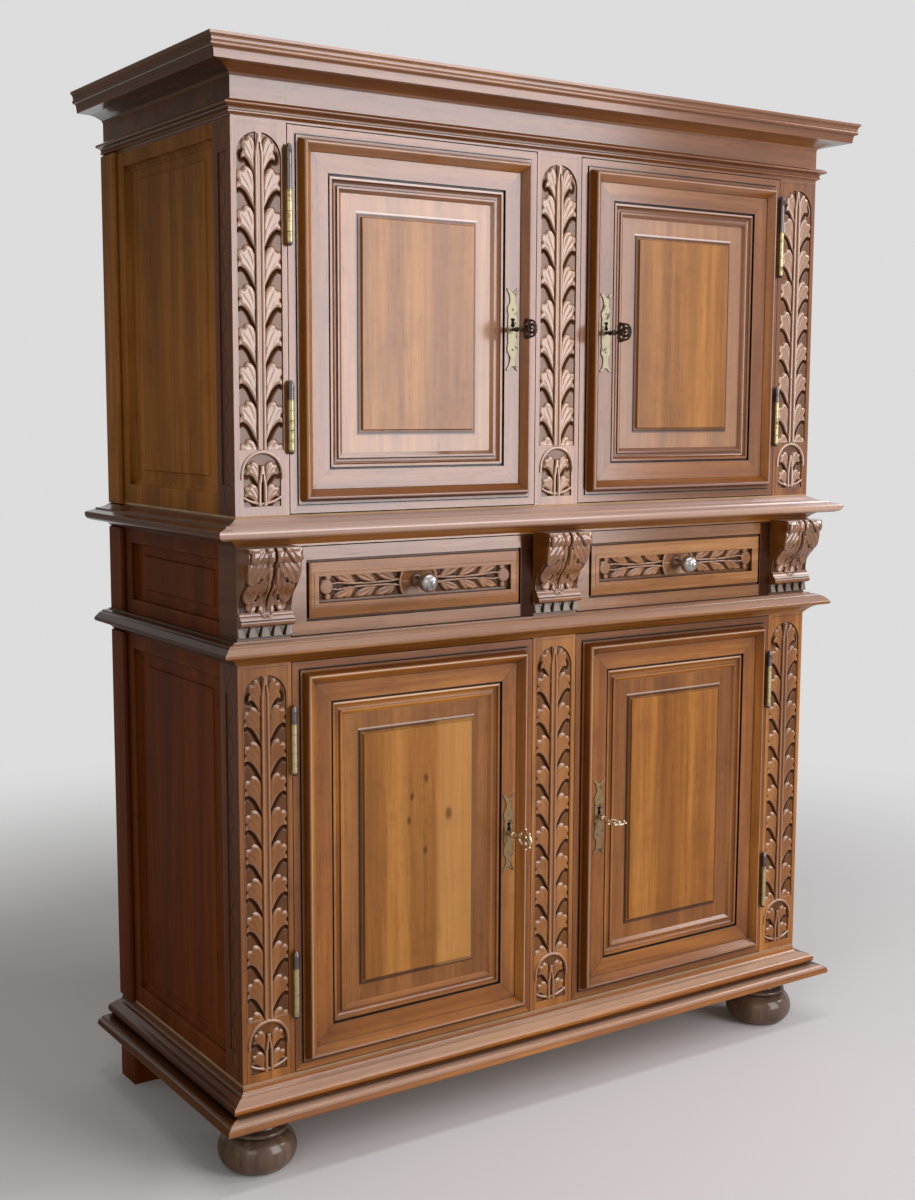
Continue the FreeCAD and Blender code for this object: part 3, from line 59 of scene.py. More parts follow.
# Places that the finishes and the carving share, in metres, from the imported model
STAGES = ("lower", "upper")
HANDS = (("left", -1), ("right", 1))
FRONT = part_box("lower_centre_pilaster")[0].y
HALF = -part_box("upper_left_pilaster")[0].x
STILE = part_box("upper_left_pilaster")[1].x + HALF
STILE_X = HALF - STILE / 2
STILES = (("left", -STILE_X), ("centre", 0.0), ("right", STILE_X))
DOOR_IN, DOOR_OUT = (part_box("upper_right_door_frame")[end].x for end in (0, 1))
BOSS_X = (DOOR_IN + DOOR_OUT) / 2
DOOR_SPANS = [[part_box(f"{stage}_left_door_frame")[end].z for end in (0, 1)] for stage in STAGES]
BELT_LOW, BELT_HIGH = (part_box("corbels")[end].z for end in (0, 1))
BELT_MIDDLE = (BELT_LOW + BELT_HIGH) / 2

# A level between the lower and the upper doors
BETWEEN_DOORS = 0.9


def settings():
    return bpy.context.scene.buffet_sizes


def colours():
    return bpy.context.scene.buffet_colours


# Shader maths

class Wire:
    """A socket of a shader tree that takes part in sums, as a number or as a vector."""

    def __init__(self, tree, socket):
        self.tree = tree
        self.socket = socket

    def _sum(self, operation, first, second=None):
        values = {0: first} if second is None else {0: first, 1: second}
        return self.tree.add("ShaderNodeMath", {"operation": operation}, values)

    def __add__(self, other):
        return self._sum("ADD", self, other)

    def __radd__(self, other):
        return self._sum("ADD", other, self)

    def __sub__(self, other):
        return self._sum("SUBTRACT", self, other)

    def __rsub__(self, other):
        return self._sum("SUBTRACT", other, self)

    def __mul__(self, other):
        return self._sum("MULTIPLY", self, other)

    def __rmul__(self, other):
        return self._sum("MULTIPLY", other, self)

    def __abs__(self):
        return self._sum("ABSOLUTE", self)

    def least(self, other):
        return self._sum("MINIMUM", self, other)

    def most(self, other):
        return self._sum("MAXIMUM", self, other)

    def above(self, other):
        return self._sum("GREATER_THAN", self, other)

    def below(self, other):
        return self._sum("LESS_THAN", self, other)

    def sine(self):
        return self._sum("SINE", self)

    def within(self, low, high, start=0.0, end=1.0):
        """Nought below low, one above high, smooth between; or from start to end."""
        how = {"interpolation_type": "SMOOTHSTEP"}
        values = {"Value": self, "From Min": low, "From Max": high, "To Min": start, "To Max": end}
        return self.tree.add("ShaderNodeMapRange", how, values)

    def band(self, low, full, fading, high):
        """Nought up to low, one from full to fading, and nought again from high."""
        return self.within(low, full) * (1 - self.within(fading, high))

    def line(self, middle, width):
        """One on a line at middle, falling to nought at half the width from it."""
        return 1 - abs(self - middle).within(0.25 * width, 0.5 * width)

    def lines(self, *rows):
        """The strongest of some lines, each with its middle, width and strength."""
        first, *others = (self.line(middle, width) * strength for middle, width, strength in rows)
        for other in others:
            first = first.most(other)
        return first


class Tree:
    """A node tree under construction, which starts empty."""

    def __init__(self, tree):
        self.tree = tree
        tree.nodes.clear()

    def add(self, kind, how=None, values=None, output=0):
        """Adds a node: its settings first, then the values or links of its sockets."""
        node = self.tree.nodes.new(kind)
        for key, value in (how or {}).items():
            setattr(node, key, value)
        for key, value in (values or {}).items():
            if isinstance(value, Wire):
                self.tree.links.new(value.socket, node.inputs[key])
            else:
                node.inputs[key].default_value = value
        return node if output is None else Wire(self, node.outputs[output])

    def shown(self):
        """One for the rays that show the background: straight, in gloss and through glass."""
        rays = self.add("ShaderNodeLightPath", output=None).outputs
        camera, glossy, through = (
            Wire(self, rays[f"Is {kind} Ray"]) for kind in ("Camera", "Glossy", "Transmission")
        )
        return camera.most(glossy).most(through)


class Finish(Tree):
    """A material under construction: one Principled shader and what feeds it."""

    def __init__(self, name, **constants):
        self.material = bpy.data.materials.new(name)
        self.material.use_nodes = True
        super().__init__(self.material.node_tree)
        self.shader = self.add("ShaderNodeBsdfPrincipled", output=None)
        self.output = self.add("ShaderNodeOutputMaterial", output=None)
        self.tree.links.new(self.shader.outputs[0], self.output.inputs[0])
        for socket, value in constants.items():
            self.shader.inputs[socket.replace("_", " ")].default_value = value
        self.place = self.add("ShaderNodeTexCoord", output="Object")
        self.x, self.y, self.z = self.parts(self.place)

    def feed(self, **links):
        for socket, wire in links.items():
            self.tree.links.new(wire.socket, self.shader.inputs[socket.replace("_", " ")])

    def parts(self, vector):
        node = self.add("ShaderNodeSeparateXYZ", {}, {0: vector}, output=None)
        return [Wire(self, socket) for socket in node.outputs]

    def attribute(self, name):
        return self.add("ShaderNodeAttribute", {"attribute_name": name}, output="Fac")

    def mix(self, factor, first, second):
        """A colour between two: plain colours are triples."""
        values = {
            "Factor": factor,
            6: first if isinstance(first, Wire) else (*first, 1),
            7: second if isinstance(second, Wire) else (*second, 1),
        }
        return self.add("ShaderNodeMix", {"data_type": "RGBA"}, values, output=2)

    def tint(self, factor, colour, by):
        """The colour multiplied by another, as far as the factor says."""
        how = {"data_type": "RGBA", "blend_type": "MULTIPLY"}
        return self.add("ShaderNodeMix", how, {"Factor": factor, 6: colour, 7: (*by, 1)}, output=2)

    def choose(self, factor, first, second):
        """A vector between two."""
        how = {"data_type": "VECTOR"}
        return self.add("ShaderNodeMix", how, {"Factor": factor, 4: first, 5: second}, output=1)

    def vector(self, operation, values, output=0):
        return self.add("ShaderNodeVectorMath", {"operation": operation}, values, output)

    def stretch(self, x, y, z, source=None):
        """The place multiplied along each axis."""
        return self.vector("MULTIPLY", {0: source or self.place, 1: (x, y, z)})

    def shift(self, x, y, z):
        """The place moved by metres."""
        return self.vector("ADD", {0: self.place, 1: (x, y, z)})

    def length(self, vector):
        return self.vector("LENGTH", {0: vector}, "Value")

    def noise(self, vector, scale, detail=2.0, roughness=0.5, distortion=0.0):
        values = {
            "Vector": vector, "Scale": scale, "Detail": detail, "Roughness": roughness,
            "Distortion": distortion,
        }
        return self.add("ShaderNodeTexNoise", {}, values)

    def openness(self, distance):
        """One on open faces, falling into corners that are narrower than the distance."""
        how = {"samples": 6, "only_local": True}
        return self.add("ShaderNodeAmbientOcclusion", how, {"Distance": distance}, output="AO")

    def normal(self):
        return self.add("ShaderNodeNewGeometry", output="Normal")

    def rounded(self, radius):
        """The normal with its edges rounded."""
        return self.add("ShaderNodeBevel", {"samples": 4}, {"Radius": radius})

    def bump(self, height, strength, normal=None):
        values = {"Height": height, "Distance": 1.0, "Strength": strength}
        if normal:
            values["Normal"] = normal
        return self.add("ShaderNodeBump", {}, values)


# Wood

# Colours that finishes multiply by: painted shade with dark wax in corners, quirks and carving,
# then incised lines, joints, cracks and knots; then darker tones, with painted shade on the
# returns, the steep faces, the carving under the waist and the upper front, and painted shadows
# behind the drops, beside the corbels and round the fields
PORE, CLOUD = (0.42, 0.34, 0.29), (0.50, 0.44, 0.42)
CORNER_SHADE_AND_WAX, QUIRK_SHADE_AND_JOINT, FIELD_SHADOW_AND_WAX = (0.14, 0.09, 0.07), (0.12, 0.09, 0.08), (0.14, 0.10, 0.09)
CARVED_SHADE_AND_WAX, LINE_WAX, VINE_WAX = (0.10, 0.06, 0.045), (0.16, 0.12, 0.10), (0.20, 0.14, 0.11)
CRACK_WAX, KNOT = (0.12, 0.08, 0.07), (0.20, 0.11, 0.06)
RETURN_PAINTED_SHADE, FLANK_SHADE = (0.20, 0.14, 0.08), (0.36, 0.27, 0.19)
DROP_GAP_SHADOW, CORBEL_SHADOW = (0.10, 0.07, 0.05), (0.12, 0.07, 0.05)
STEEP_PAINTED_SHADE, OUTER_SHADE = (0.42, 0.28, 0.20), (0.56, 0.46, 0.42)
BELT_SHADE, BELT_CARVING_PAINTED_SHADE = (0.50, 0.48, 0.52), (0.62, 0.55, 0.50)
MARGIN_SHADE, DRAWER_SHADE = (0.66, 0.58, 0.52), (0.72, 0.66, 0.62)
RIGHT_FRAME_SHADE, RIGHT_PANEL_SHADE = (0.76, 0.70, 0.62), (0.94, 0.86, 0.72)
LOW_SIDE_SHADE, HIGH_SIDE_SHADE = (0.41, 0.24, 0.15), (0.50, 0.52, 0.55)
UPPER_PAINTED_SHADE = (0.68, 0.62, 0.72)

# Colours that finishes mix in: worn arrises and crests with painted highlights, painted highlights
# on bevels, lobes, ledges and the waist, painted sheen on the margins and the carving, and honey
# streaks
ARRIS_WEAR_AND_HIGHLIGHT, CREST_WEAR_AND_HIGHLIGHT, CARVED_WEAR_AND_HIGHLIGHT = (0.62, 0.42, 0.27), (0.74, 0.56, 0.42), (0.62, 0.45, 0.35)
BEVEL_HIGHLIGHT, LOBE_HIGHLIGHT, LEDGE_HIGHLIGHT = (0.66, 0.58, 0.56), (0.76, 0.67, 0.62), (0.70, 0.56, 0.47)
WAIST_HIGHLIGHT, MARGIN_SHEEN, CARVING_SHEEN = (0.58, 0.43, 0.36), (0.60, 0.50, 0.47), (0.40, 0.27, 0.20)
HONEY = (0.58, 0.30, 0.09)

# Levels over which the polish grows from the lower stage to the upper, in metres
POLISH_LOW, POLISH_HIGH = 0.72, 0.95
# Levels over which the upper stage begins: the painted sheen of its carving, and the paler tone of
# its sides
UPPER_LOW, UPPER_HIGH = 0.93, 0.98


def polished(name, roughness=0.16, level=0.06):
    """A finish with a hard gloss over the wood."""
    return Finish(name, Coat_Roughness=roughness, Coat_IOR=1.8, Specular_IOR_Level=level)


def grain(finish, along, source=None):
    """The place drawn out so that what is noisy runs along one axis of the wood."""
    fine, long = 1.0, 0.045
    factors = [long if axis == along else fine for axis in "xyz"]
    return finish.stretch(*factors, source=source)


def woody(finish, flow, name, depth=1.0):
    """Walnut from its dark to its light tone, with streaks and pores along the flow."""
    broad = finish.noise(flow, 16.0, detail=3.0, roughness=0.55, distortion=0.4)
    streak = finish.noise(flow, 90.0, detail=4.0, roughness=0.62, distortion=0.2)
    pore = finish.noise(flow, 620.0, detail=2.0, roughness=0.6).within(0.60, 0.72)
    ground = broad * 0.62 + streak * 0.38
    tone = ground.within(0.5 - 0.2 / depth, 0.5 + 0.2 / depth)
    dark, light = (getattr(colours(), f"{name}_{end}") for end in ("dark", "light"))
    middle = [math.sqrt(a * b) for a, b in zip(dark, light)]
    shade = finish.mix((tone * 2).least(1), dark, middle)
    shade = finish.mix((tone * 2 - 1).most(0), shade, light)
    shade = finish.tint(pore * 0.5, shade, PORE)
    cloud = finish.noise(finish.place, 11.0, detail=4.0, roughness=0.65)
    shade = finish.tint(cloud.within(0.48, 0.72) * 0.3, shade, CLOUD)
    return shade, ground, pore


def outlook(finish):
    """How far a face looks to the front, not to a side, and how far it looks up."""
    across, _, up = finish.parts(finish.normal())
    return 1 - abs(across).within(0.5, 0.85), up.within(0.45, 0.85)


def returned(finish):
    """One on a moulding's returns along the sides, behind its mitre."""
    return (abs(finish.x) + finish.y).above(HALF + FRONT)


def polish(finish, most=1.0):
    """The share of polish: full on the upper front, less below, and none on the sides."""
    front, _ = outlook(finish)
    return front * finish.z.within(POLISH_LOW, POLISH_HIGH, 0.4 * most, 0.8 * most)


def shaded_and_waxed(finish, shade, ground, pore, reach=0.014, worn_edge_and_highlight=0.35, dirt=0.9, roughness=0.34,
          coat=1.0, shine=None, pale=1.0):
    """Painted shade with dark wax in the corners, worn arrises with a painted highlight, a painted
    shade on the upper front, and the polish over all.
    """
    # Painted shade with dark wax: darker in the corners, from the ambient occlusion within the
    # reach
    shaded_hollow = 1 - finish.openness(reach).within(0.32, 0.92)
    if coat:
        front, _ = outlook(finish)
        # Painted shade: the upper front made darker and lavender to offset the stronger light up
        # there, as far as pale says
        upper = finish.z.within(0.93, 0.99) * front
        shade = finish.tint(upper * pale, shade, UPPER_PAINTED_SHADE)
    shade = finish.tint(shaded_hollow * dirt, shade, CORNER_SHADE_AND_WAX)
    soft = finish.rounded(0.0012)
    facing = finish.vector("DOT_PRODUCT", {0: soft, 1: finish.normal()}, "Value")
    # Worn arrises with a painted highlight, where the rounded normal turns away from the face
    arris = (1 - facing).within(0.01, 0.16) * (1 - shaded_hollow)
    shade = finish.mix(arris * worn_edge_and_highlight, shade, ARRIS_WEAR_AND_HIGHLIGHT)
    finish.feed(
        Base_Color=shade,
        Roughness=roughness + ground * 0.12 + shaded_hollow * 0.25,
        Normal=finish.bump(ground * 0.00025 - pore * 0.00012, 0.8, soft),
    )
    if coat:
        gloss = polish(finish, coat) * (1 - shaded_hollow - pore * 0.2).most(0)
        finish.feed(Coat_Weight=gloss * shine if shine else gloss)
    return finish.material


def mitred_finish(name, **shading_and_waxing):
    """Mouldings and rails: the grain runs along the front, and along the returns at the sides,
    which are painted in shade; painted highlights on the waist and the lower ledges, the belt
    moulding darker, and a painted shadow behind the drops.
    """
    finish = polished(name)
    turn = returned(finish)
    flow = finish.choose(turn, grain(finish, "x"), grain(finish, "y", finish.shift(3.1, 1.7, 0.4)))
    shade, ground, pore = woody(finish, flow, "frame")
    # Painted shade on the returns along the sides
    shade = finish.tint(turn * 0.9, shade, RETURN_PAINTED_SHADE)
    # Painted highlight on the front of the waist moulding
    waist = finish.z.band(0.940, 0.948, 0.970, 0.975) * (1 - turn)
    shade = finish.mix(waist * 0.55, shade, WAIST_HIGHLIGHT)
    # Painted highlight on the faces of the lower mouldings that look up
    _, up = outlook(finish)
    ledge = up * (1 - turn) * finish.z.below(1.0)
    shade = finish.mix(ledge * 0.4, shade, LEDGE_HIGHLIGHT)
    shade = finish.tint(finish.z.band(0.757, 0.762, 0.798, 0.803) * 0.6, shade, BELT_SHADE)
    # Painted shadow on the belt behind and between the drops
    behind = stile_offset(finish).below(0.0415) * finish.z.above(0.7985) * finish.z.below(0.835)
    shade = finish.tint(behind * 0.9, shade, DROP_GAP_SHADOW)
    return shaded_and_waxed(finish, shade, ground, pore, **shading_and_waxing)


def stile_offset(finish):
    """How far a point lies beside the axis of the nearest stile."""
    return abs(abs(finish.x) - STILE_X).least(abs(finish.x))


def straight_finish(name, along, tones, **shading_and_waxing):
    finish = polished(name)
    return shaded_and_waxed(finish, *woody(finish, grain(finish, along), tones), **shading_and_waxing)


def door_edge(finish):
    """Distances from a door's nearest edge, its nearest upright edge and its top or bottom, and
    whether a point belongs to the top or bottom length, and to the top one."""
    beside = abs(finish.x)
    across = (beside - DOOR_IN).least(DOOR_OUT - beside)
    (low_0, high_0), (low_1, high_1) = DOOR_SPANS
    upper = finish.z.above((high_0 + low_1) / 2)
    middle = upper * ((low_1 + high_1 - low_0 - high_0) / 2) + (low_0 + high_0) / 2
    half = upper * ((high_1 - low_1 - high_0 + low_0) / 2) + (high_0 - low_0) / 2
    up = half - abs(finish.z - middle)
    level = up.below(across)
    return across.least(up), across, up, level, level * finish.z.above(middle)


# Lines of painted shade and dark wax in a door frame's quirks: distance from the door's edge, width
# and strength
FRAME_QUIRKS = ((0.0113, 0.0040, 1.0), (0.0622, 0.0044, 1.0), (0.0338, 0.0020, 0.6))


def door_frame_finish():
    """Four mitred lengths a door: grain along each, painted shade and wax in the quirks, painted
    shade on the steep face, and a worn crest with a painted highlight.
    """
    finish = polished("Door frame walnut")
    edge, across, up, level, top = door_edge(finish)
    flow = finish.choose(
        level, grain(finish, "z"), grain(finish, "x", finish.shift(0.3, 0.0, 2.3))
    )
    shade, ground, pore = woody(finish, flow, "frame")
    mitre = (1 - abs(across - up).within(0.0002, 0.0011)) * edge.above(0.012)
    # Painted shade on the steep outer face of the moulding
    steep = edge.band(0.0150, 0.0165, 0.0190, 0.0205)
    shade = finish.tint(steep * 0.55, shade, STEEP_PAINTED_SHADE)
    # Painted shade and wax in the quirks, and the dark mitre joints
    shade = finish.tint((edge.lines(*FRAME_QUIRKS) * 0.9).most(mitre * 0.75), shade, QUIRK_SHADE_AND_JOINT)
    # A worn crest with a painted highlight, and a painted highlight on the top length's inner
    # moulding
    crest = (edge.line(0.0212, 0.0030) * 0.5).most(edge.line(0.0660, 0.0030) * top * 0.7)
    shade = finish.mix(crest, shade, CREST_WEAR_AND_HIGHLIGHT)
    lower = finish.z.below(BETWEEN_DOORS)
    outside = (1 - edge.within(0.010, 0.026)) * 0.6
    corner = (1 - abs(across - up).within(0.0, 0.055)) * 0.4
    shade = finish.tint(outside.most(corner) * lower, shade, OUTER_SHADE)
    shade = finish.tint(finish.x.above(0.0) * lower * 0.6, shade, RIGHT_FRAME_SHADE)
    return shaded_and_waxed(finish, shade, ground, pore)


# Small knots of the panels: across, up and radius, in metres
KNOTS = (
    (-0.2456, 0.5627, 0.0042), (-0.2708, 0.5364, 0.0036), (-0.2042, 0.502, 0.0062),
    (-0.2762, 0.4998, 0.0036), (-0.2473, 0.4499, 0.004),
)
# From a door's edge to the line round its panel's raised field, in metres
FIELD = 0.1135


def pair_centre(finish):
    """The middle of the door or drawer that a point belongs to, across."""
    return BOSS_X * (1 - finish.x.below(0.0) * 2)


def door_panel_finish():
    """Raised panels: upright honey grain, painted shade and wax in the line round the field with a
    painted shadow on its left and lower edges, a painted highlight on its top bevel, a painted
    sheen on the upper margins, knots and a streak.
    """
    finish = polished("Door panel walnut", 0.18)
    edge, _, _, level, top = door_edge(finish)
    # The field's left and lower edges, where a painted shadow falls
    shaded = finish.x.below(pair_centre(finish)) * (1 - level) + level - top
    flow = grain(finish, "z", finish.shift(0.0, 0.7, 0.0))
    shade, ground, pore = woody(finish, flow, "panel")
    # Painted shade and wax round the field, widened into a painted shadow along its left and lower
    # edges
    quirk = edge.line(FIELD, 0.0042).most(edge.line(0.1122, 0.0074) * shaded)
    shade = finish.tint(quirk * 0.85, shade, FIELD_SHADOW_AND_WAX)
    # Painted highlight on the field's top bevel
    shade = finish.mix(edge.line(0.1098, 0.0032) * top * 0.75, shade, BEVEL_HIGHLIGHT)
    lower = finish.z.below(BETWEEN_DOORS)
    margin = edge.below(0.1120)
    shade = finish.tint(finish.x.above(0.0) * lower * 0.6, shade, RIGHT_PANEL_SHADE)
    shade = finish.tint(margin * lower * 0.75, shade, MARGIN_SHADE)
    # Painted sheen on the margins of the upper panels
    shade = finish.mix(margin * (1 - lower) * 0.1, shade, MARGIN_SHEEN)
    spots = 0
    for x, z, size in KNOTS:
        reach = finish.length(finish.stretch(1.0, 0.0, 0.6, finish.shift(-x, 0.0, -z)))
        spots = (1 - reach.within(0.3 * size, 1.5 * size)) + spots
    streak = finish.x.band(-0.232, -0.216, -0.164, -0.150) * lower * (1 - margin)
    shade = finish.mix(streak * 0.36, shade, HONEY)
    shade = finish.tint(spots.least(1) * 0.75, shade, KNOT)
    # Little of the upper front's painted shade on the panels
    return shaded_and_waxed(finish, shade, ground, pore, pale=0.15, shine=margin * 0.42 + 0.5)


def carved_finish(name, tones="carved", coat=1.0):
    """Carved walnut: dark wax and painted shade in what is cut in, worn crests with a painted
    highlight, painted highlights on lobes that look up, a painted sheen on the upper carving, and
    painted shade between waist and belt.
    """
    finish = polished(name, 0.15, 0.1)
    shade, ground, pore = woody(finish, grain(finish, "z"), tones, depth=0.8)
    shaded_hollow, crest = finish.attribute("shaded_hollow"), finish.attribute("crest")
    proud = 1 - shaded_hollow
    upper = finish.z.within(UPPER_LOW, UPPER_HIGH)
    # Painted sheen on what stands out of the upper carving
    shade = finish.mix(proud * upper * 0.42, shade, CARVING_SHEEN)
    # Worn crests with a painted highlight
    shade = finish.mix(crest * (upper * 0.25 + 0.2), shade, CARVED_WEAR_AND_HIGHLIGHT)
    _, up = outlook(finish)
    # Painted highlights on the lower carving's faces that look up
    shade = finish.mix(up * proud * (1 - upper) * 0.75, shade, LOBE_HIGHLIGHT)
    # Darker tone with painted shade on the carving between waist and belt, on faces that do not
    # look up
    belt = finish.z.band(0.795, 0.80, 0.93, 0.935)
    shade = finish.tint(belt * (1 - up) * 0.6, shade, BELT_CARVING_PAINTED_SHADE)
    # Painted shade and dark wax in what is cut in
    shade = finish.tint(shaded_hollow * 0.95, shade, CARVED_SHADE_AND_WAX)
    finish.feed(
        Base_Color=shade,
        Roughness=0.30 + ground * 0.1 + shaded_hollow * 0.3,
        Coat_Weight=(polish(finish, coat) * proud).most(0),
        Normal=finish.bump(ground * 0.0002 - pore * 0.0001, 0.7),
    )
    return finish.material


def stile_finish():
    """The carved stiles: a thin incised line inside their edges, and a vine on their flanks."""
    finish = polished("Stile walnut")
    shade, ground, pore = woody(finish, grain(finish, "z"), "frame")
    beside = stile_offset(finish)
    inset, width = 0.0356, 0.0012
    line = beside.line(inset, width)
    tops = [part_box(f"{stage}_centre_pilaster")[1].z - 0.0045 for stage in STAGES]
    for top in tops:
        line = line.most(finish.z.line(top, width) * beside.below(inset))
    for top in tops:
        line = line * (1 - finish.z.above(top + width / 2) * finish.z.below(top + 0.02))
    line = line * finish.y.below(FRONT + 0.002)
    shade = finish.tint(line * 0.8, shade, LINE_WAX)
    flank = abs(finish.x).above(HALF - 0.002) * finish.y.above(FRONT + 0.002)
    shade = finish.tint(flank * 0.9, shade, FLANK_SHADE)
    across = finish.y - (FRONT + 0.0275)
    vine = abs(across - (finish.z * 115.0).sine() * 0.0065).line(0.0, 0.0044)
    vine = vine.most(abs(across).line(0.0125, 0.0016)) * abs(across).below(0.0135) * flank
    shade = finish.tint(vine * 0.75, shade, VINE_WAX)
    return shaded_and_waxed(finish, shade, ground, pore)


# Cracks in the frieze: their level and length, in metres
CRACKS = ((1.556, 0.035), (1.567, 0.022))


def frieze_finish():
    """The frieze: level grain, upright joints over the stile, and two short cracks."""
    finish = polished("Frieze walnut")
    shade, ground, pore = woody(finish, grain(finish, "x"), "frame")
    joints = finish.x.line(STILE - HALF, 0.0022) + finish.x.line(-STILE_X, 0.0016) * 0.4
    wave = finish.noise(finish.stretch(1.0, 0.0, 0.0), 60.0) * 0.012
    start = STILE - HALF + 0.002
    cracks = 0
    for level, reach in CRACKS:
        length = finish.x.above(start) * (1 - finish.x.within(start, start + reach))
        cracks = (finish.z + wave - 0.006).line(level, 0.0022) * length + cracks
    # Painted shade on the returns along the sides
    shade = finish.tint(returned(finish) * 0.9, shade, RETURN_PAINTED_SHADE)
    shade = finish.tint((joints + cracks).least(1) * 0.85, shade, CRACK_WAX)
    return shaded_and_waxed(finish, shade, ground, pore, reach=0.03)


def drawer_finish():
    """The drawer fronts: level grain, a painted shadow of the corbel at each drawer's right end,
    and a darker margin.
    """
    finish = polished("Drawer front walnut")
    shade, ground, pore = woody(finish, grain(finish, "x"), "drawer")
    # Painted shadow that the corbel casts over the drawer's right end
    end = (finish.x - pair_centre(finish)).within(0.187, 0.192)
    shade = finish.tint(end * 0.95, shade, CORBEL_SHADOW)
    raised = finish.y.below(FRONT - 0.0003)
    shade = finish.tint(1 - raised, shade, DRAWER_SHADE)
    shine = (1 - end) * (1 - raised * 0.6)
    return shaded_and_waxed(finish, shade, ground, pore, reach=0.01, coat=0.9, shine=shine)


def side_finish():
    """The sides: upright grain, darker and redder below, browner above."""
    finish = Finish("Side walnut upright", Specular_IOR_Level=0.04)
    shade, ground, pore = woody(finish, grain(finish, "z"), "side")
    shade = finish.tint(1 - finish.z.within(UPPER_LOW, UPPER_HIGH), shade, LOW_SIDE_SHADE)
    shade = finish.tint(finish.z.within(1.15, 1.52) * 0.6, shade, HIGH_SIDE_SHADE)
    return shaded_and_waxed(finish, shade, ground, pore, worn_edge_and_highlight=0.15, coat=0, roughness=0.5)


def inner_finish(name, along):
    """The oak of the inside: plain and dry."""
    finish = Finish(name, Specular_IOR_Level=0.3)
    timber = woody(finish, grain(finish, along), "inner", depth=0.7)
    return shaded_and_waxed(finish, *timber, worn_edge_and_highlight=0.1, dirt=0.5, roughness=0.55, coat=0)


def metal_finish(name, colour, patina, roughness, spread=90.0, cover=0.5):
    """Cast metal with a patina that gathers in its corners and lies in clouds, its edges softly
    rounded.
    """
    finish = Finish(name, Metallic=1.0)
    cloud = finish.noise(finish.place, spread, detail=5.0, roughness=0.6)
    corner = 1 - finish.openness(0.004).within(0.4, 0.95)
    aged = cloud.within(0.62 - 0.3 * cover, 0.75 - 0.3 * cover).most(corner)
    fine = finish.noise(finish.place, 900.0, detail=3.0)
    finish.feed(
        Base_Color=finish.mix(aged, colour, patina),
        Roughness=roughness + aged * 0.25 + fine * 0.1,
        Normal=finish.bump(cloud * 0.00015 + fine * 0.00004, 0.8, finish.rounded(0.0006)),
    )
    return finish.material


# Mesh helpers

def deselected():
    if bpy.context.object and bpy.context.object.mode != "OBJECT":
        bpy.ops.object.mode_set(mode="OBJECT")
    bpy.ops.object.select_all(action="DESELECT")


def chosen(piece):
    deselected()
    piece.select_set(True)
    bpy.context.view_layer.objects.active = piece


def opened():
    """Edits the active mesh, with all of it selected."""
    bpy.ops.object.mode_set(mode="EDIT")
    bpy.ops.mesh.select_all(action="SELECT")


def outward():
    """Turns all faces outwards and ends the editing."""
    bpy.ops.mesh.select_all(action="SELECT")
    bpy.ops.mesh.normals_make_consistent(inside=False)
    bpy.ops.object.mode_set(mode="OBJECT")


def settled(piece):
    """Puts the piece's place into its mesh."""
    chosen(piece)
    bpy.ops.object.transform_apply(location=True, rotation=True, scale=True)
    return piece


def named(name):
    piece = bpy.context.object
    piece.name = name
    piece.data.name = name
    return piece


def modified(piece, kind, **how):
    """Adds a modifier, sets it up and applies it."""
    chosen(piece)
    bpy.ops.object.modifier_add(type=kind)
    modifier = piece.modifiers[0]
    for key, value in how.items():
        setattr(modifier, key, value)
    bpy.ops.object.modifier_apply(modifier=modifier.name)


def merged(piece, other, operation):
    """Joins another piece to this one, or cuts it out, and uses the other up."""
    modified(piece, "BOOLEAN", operation=operation, object=other)
    bpy.data.objects.remove(other)


def finished(piece, body, material, slot, *replaced):
    piece.data.materials.clear()
    piece.data.materials.append(material)
    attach(piece, body)
    if replaced:
        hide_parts(*replaced)
    return piece


def points(piece):
    flat = np.empty(len(piece.data.vertices) * 3)
    piece.data.vertices.foreach_get("co", flat)
    return flat.reshape(-1, 3)


def set_points(piece, places):
    piece.data.vertices.foreach_set("co", np.asarray(places, float).ravel())
    piece.data.update()


def paint(piece, name, values):
    layer = piece.data.attributes.get(name) or piece.data.attributes.new(name, "FLOAT", "POINT")
    layer.data.foreach_set("value", np.asarray(values, np.float32))


# Carving

def smooth(low, high, value):
    share = np.clip((value - low) / (high - low), 0.0, 1.0)
    return share * share * (3 - 2 * share)


def arc(share):
    """The height of a round of radius one, at a share of the radius from its middle."""
    return np.sqrt(np.clip(1 - share ** 2, 0, 1))


def moved(path, across=0, up=0, wide=1, tall=1):
    """A path resized and then moved."""
    return [(across + u * wide, up + v * tall) for u, v in path]


def nearest(u, v, *paths):
    """From points (u, v) to the nearest line of some paths, or far off without one."""
    best = np.full(len(u), 1e9)
    for path in paths:
        for (a, b), (c, d) in zip(path[:-1], path[1:]):
            across, up = c - a, d - b
            along = ((u - a) * across + (v - b) * up) / (across * across + up * up)
            along = np.clip(along, 0, 1)
            best = np.minimum(best, np.hypot(u - a - along * across, v - b - along * up))
    return best


